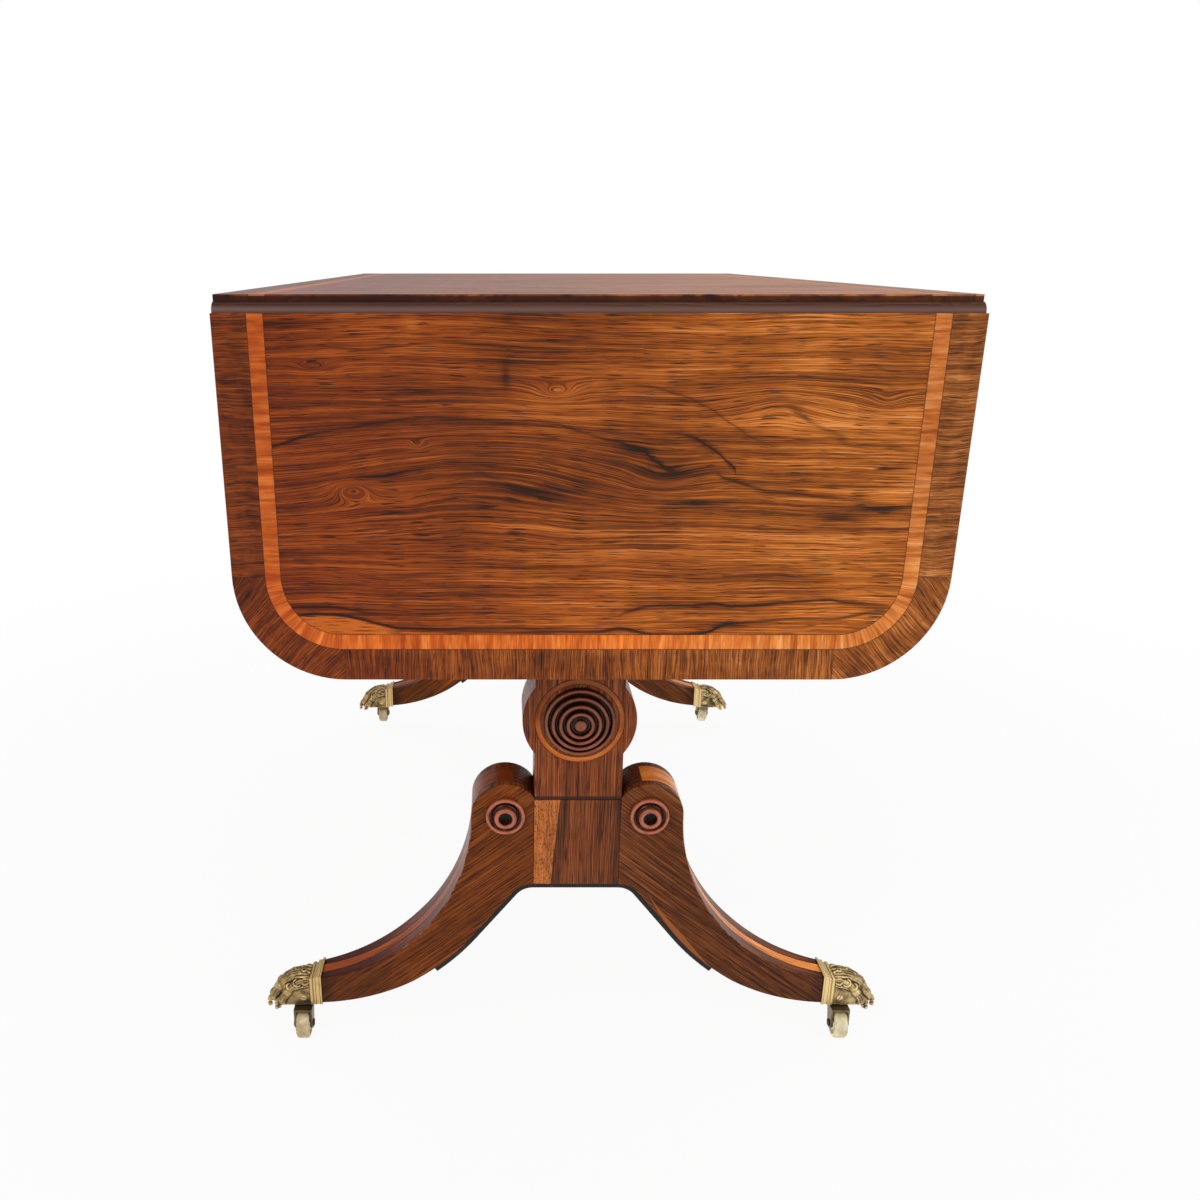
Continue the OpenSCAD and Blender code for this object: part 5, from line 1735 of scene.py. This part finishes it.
    def fur(self) -> Iterable[Lock]:
        """The curls on the shoulders and the strands that run over the instep to the toes.

        Returns:
            The locks one by one.
        """
        for side in (-1, 1):
            y = side * (self.cheek - 1.4)
            yield Lock.curl((267.5, y, 63.0), 4.3, side, 38.0)
            yield Lock.curl((275.5, y, 60.8), 4.4, side, 40.0, 1.35)
            yield Lock.curl((283.0, y - side * 0.4, 56.2), 4.0, side, 42.0)
            yield Lock.strand((264.0, side * 12.6, 58.0), (293.0, side * 12.4, 41.5), 3.6, side * 0.5)
            yield Lock.strand((262.5, side * 9.0, 65.5), (288.5, side * 8.2, 56.5), 4.0, 1.3)
            yield Lock.strand((262.0, side * 5.2, 67.4), (292.0, side * 2.2, 58.0), 4.2, -1.4)
        yield Lock.strand((262.0, 0.0, 68.0), (296.0, 0.0, 54.0), 5.4, 1.2)
        for x, y, z in ((269.0, 1.8, 68.9), (276.5, -2.4, 67.6), (283.5, 2.2, 64.0)):
            yield Lock.curl((x, y, z), 2.9, 1, 85.0)

    def fuse(self, data: bpy.types.Mesh) -> bpy.types.Mesh:
        """Melts overlapping masses into one skin and softens it like a worn casting.

        Args:
            data: The overlapping masses.

        Returns:
            The skin, with no object of its own.
        """
        holder = add_object("paw_pattern", data)
        remesh = holder.modifiers.new("Fuse", "REMESH")
        remesh.mode = "VOXEL"
        remesh.voxel_size = self.voxel
        remesh.use_smooth_shade = True
        wear = holder.modifiers.new("Wear", "SMOOTH")
        wear.factor = 0.5
        wear.iterations = 2
        graph = bpy.context.evaluated_depsgraph_get()
        fused = bpy.data.meshes.new_from_object(holder.evaluated_get(graph))
        bpy.data.objects.remove(holder)
        return fused

    def add_collar(self, mesh: Solid) -> None:
        """The square collar: a flared lip, a hollow and a bead, each smaller and lower than the last.

        Args:
            mesh: The mesh that it is added to, in metres.
        """
        steps = (
            (0.0, 2.4, 34.2, (38.2, 71.2), 1.1),
            (2.0, 6.6, 31.6, (37.6, 69.6), 1.6),
            (6.0, 9.6, 28.8, (36.4, 67.4), 0.8),
            (8.9, 12.6, 30.0, (35.6, 67.6), 1.5),
        )
        for start, stop, width, (low, high), soft in steps:
            box = bmesh.ops.create_cube(mesh, size=1.0)["verts"]
            middle = (self.toe_x + (start + stop) / 2, 0.0, (low + high) / 2)
            size = Matrix.Diagonal((stop - start, width, high - low, 1.0))
            place = Matrix.Scale(MM, 4) @ Matrix.Translation(middle)
            bmesh.ops.transform(mesh, matrix=place @ size, verts=box)
            front = [v for v in box if v.co.x > middle[0] * MM]
            centred = Matrix.Translation((0, 0, -middle[2] * MM))
            bmesh.ops.scale(mesh, vec=(1.0, 0.965, 0.975), verts=front, space=centred)
            edges = {e for v in box for e in v.link_edges}
            round_edges(mesh, edges, soft * 0.5 * MM, 3)

    def cast(self, paw: bpy.types.Mesh, corner: Corner) -> None:
        """Casts one paw with its collar and drives the screws into its cheeks.

        Args:
            paw: The modelled paw.
            corner: The corner of the table.
        """
        mesh = bmesh.new()
        self.add_collar(mesh)
        smooth(mesh, 45.0)
        mesh.from_mesh(paw)
        mirror = Matrix.Diagonal((corner.side, corner.end, 1.0, 1.0))
        move(mesh, mirror @ Matrix.Translation((0, self.standard_y, 0)))
        if corner.side * corner.end < 0:
            bmesh.ops.reverse_faces(mesh, faces=mesh.faces)
        piece = publish(mesh, f"{corner.label}_paw", self.brass, "root")
        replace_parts(piece, "paw_caps")
        for face in (-1, 1):
            y = corner.end * self.standard_y + face * (self.cheek - 0.15) * MM
            seat = Vector((corner.side * self.screw_x, y, self.screw_z))
            angle = 30.0 + 50.0 * corner.side * face
            self.screws.drive(seat, Vector((0, face, 0)), self.screw_r, "root", angle, "brass", self.brass)


@dataclass
class Studio:
    """Floor, lamps, world and camera."""

    eye: Place = (-0.072, -1.320, 0.747)
    pitch: float = 19.6
    lens: float = 32.94
    shift: Flat = (0.0833, 0.0383)
    target: Place = (0.0, -0.2, 0.4)
    paper: Colour = (0.86, 0.86, 0.86)

    def build(self) -> None:
        """Sets up everything round the table."""
        self.light()
        self.lay_floor()
        self.place_camera()
        bpy.context.scene.view_settings.view_transform = "Standard"

    def light(self) -> None:
        """A pale world and three soft lamps."""
        sky = Shader("pale_room", world=True)
        bpy.context.scene.world = sky.material
        seen = sky.value("ShaderNodeLightPath", {}, {}, "Is Camera Ray")
        level = sky.value("ShaderNodeMapRange", {}, {"Value": seen, "To Min": 0.55, "To Max": 1.0})
        back = sky.value("ShaderNodeBackground", {}, {"Color": (1.0, 1.0, 1.0), "Strength": level})
        sky.node("ShaderNodeOutputWorld", {}, {"Surface": back})
        lamps = (
            ("window", (-1.5, -2.2, 2.3), 26.0, 1.6, (1.0, 0.98, 0.95)),
            ("fill", (2.2, -2.0, 1.6), 20.0, 1.8, (0.97, 0.98, 1.0)),
            ("ceiling", (0.2, 0.8, 2.9), 22.0, 2.2, (1.0, 1.0, 1.0)),
        )
        for name, place, power, size, colour in lamps:
            lamp = bpy.data.lights.new(name, "AREA")
            lamp.energy = power
            lamp.size = size
            lamp.color = colour
            holder = add_object(name, lamp)
            holder.location = place
            aim = Vector(self.target) - Vector(place)
            holder.rotation_euler = aim.to_track_quat("-Z", "Y").to_euler()

    def lay_floor(self) -> None:
        """A pale floor that looks almost white to the camera and keeps the table's shadow."""
        shader = Shader("paper_floor")
        matt = shader.value("ShaderNodeBsdfDiffuse", {}, {"Color": self.paper})
        glow = shader.value("ShaderNodeEmission", {}, {"Color": (1.0, 1.0, 1.0), "Strength": 1.0})
        path = shader.node("ShaderNodeLightPath", {}, {})
        seen = Value(shader, path.outputs["Is Camera Ray"])
        seen = seen.at_least(Value(shader, path.outputs["Is Glossy Ray"]))
        x, y, _ = shader.position()
        far = distance(x, y).ease(0.7, 1.8)
        look = shader.value("ShaderNodeMixShader", {}, {0: seen * (far * 0.08 + 0.92), 1: matt, 2: glow})
        shader.node("ShaderNodeOutputMaterial", {}, {"Surface": look})
        mesh = bmesh.new()
        bmesh.ops.create_grid(mesh, x_segments=1, y_segments=1, size=14.0)
        data = keep_mesh(mesh, "floor")
        data.materials.append(shader.material)
        add_object("floor", data)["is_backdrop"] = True

    def place_camera(self) -> None:
        """The camera stands where the photograph was taken."""
        data = bpy.data.cameras.new("camera")
        data.sensor_width = 36.0
        data.lens = self.lens
        data.shift_x, data.shift_y = self.shift
        data.clip_start = 0.02
        data.clip_end = 100.0
        camera = add_object("camera", data)
        camera.location = self.eye
        camera.rotation_euler = (math.radians(90.0 - self.pitch), 0.0, 0.0)
        bpy.context.scene.camera = camera


def main() -> None:
    """Builds the sub-assemblies in order and reports each one."""
    logging.basicConfig(level=logging.INFO, format="%(name)s: %(message)s")
    iron = IronFinish().material("black_iron")
    brass = BrassFinish().material("old_brass")
    wheel_brass = BrassFinish((1.0, 0.92, 0.66), (0.60, 0.47, 0.27), 0.42).material("wheel_brass")
    # The forks' brass is darkened to brown as painted shade, for the shadow they stand in
    fork_brass = BrassFinish((0.22, 0.16, 0.08), (0.022, 0.015, 0.008), 0.36).material("fork_brass")
    screws = Screws(iron)
    stages = (
        ("studio", Studio()),
        ("top and leaves", TopAssembly(screws, iron)),
        ("frieze", Frieze(iron)),
        ("standards", Standard(screws)),
        ("castors", Castors(screws, brass, wheel_brass, fork_brass, iron)),
    )
    for label, part in stages:
        part.build()
        log.info("built %s", label)
    dress("iron_straps", iron)
    log.info("%d pieces, %d screws", len(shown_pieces()), screws.count)


if __name__ == "__main__":
    main()
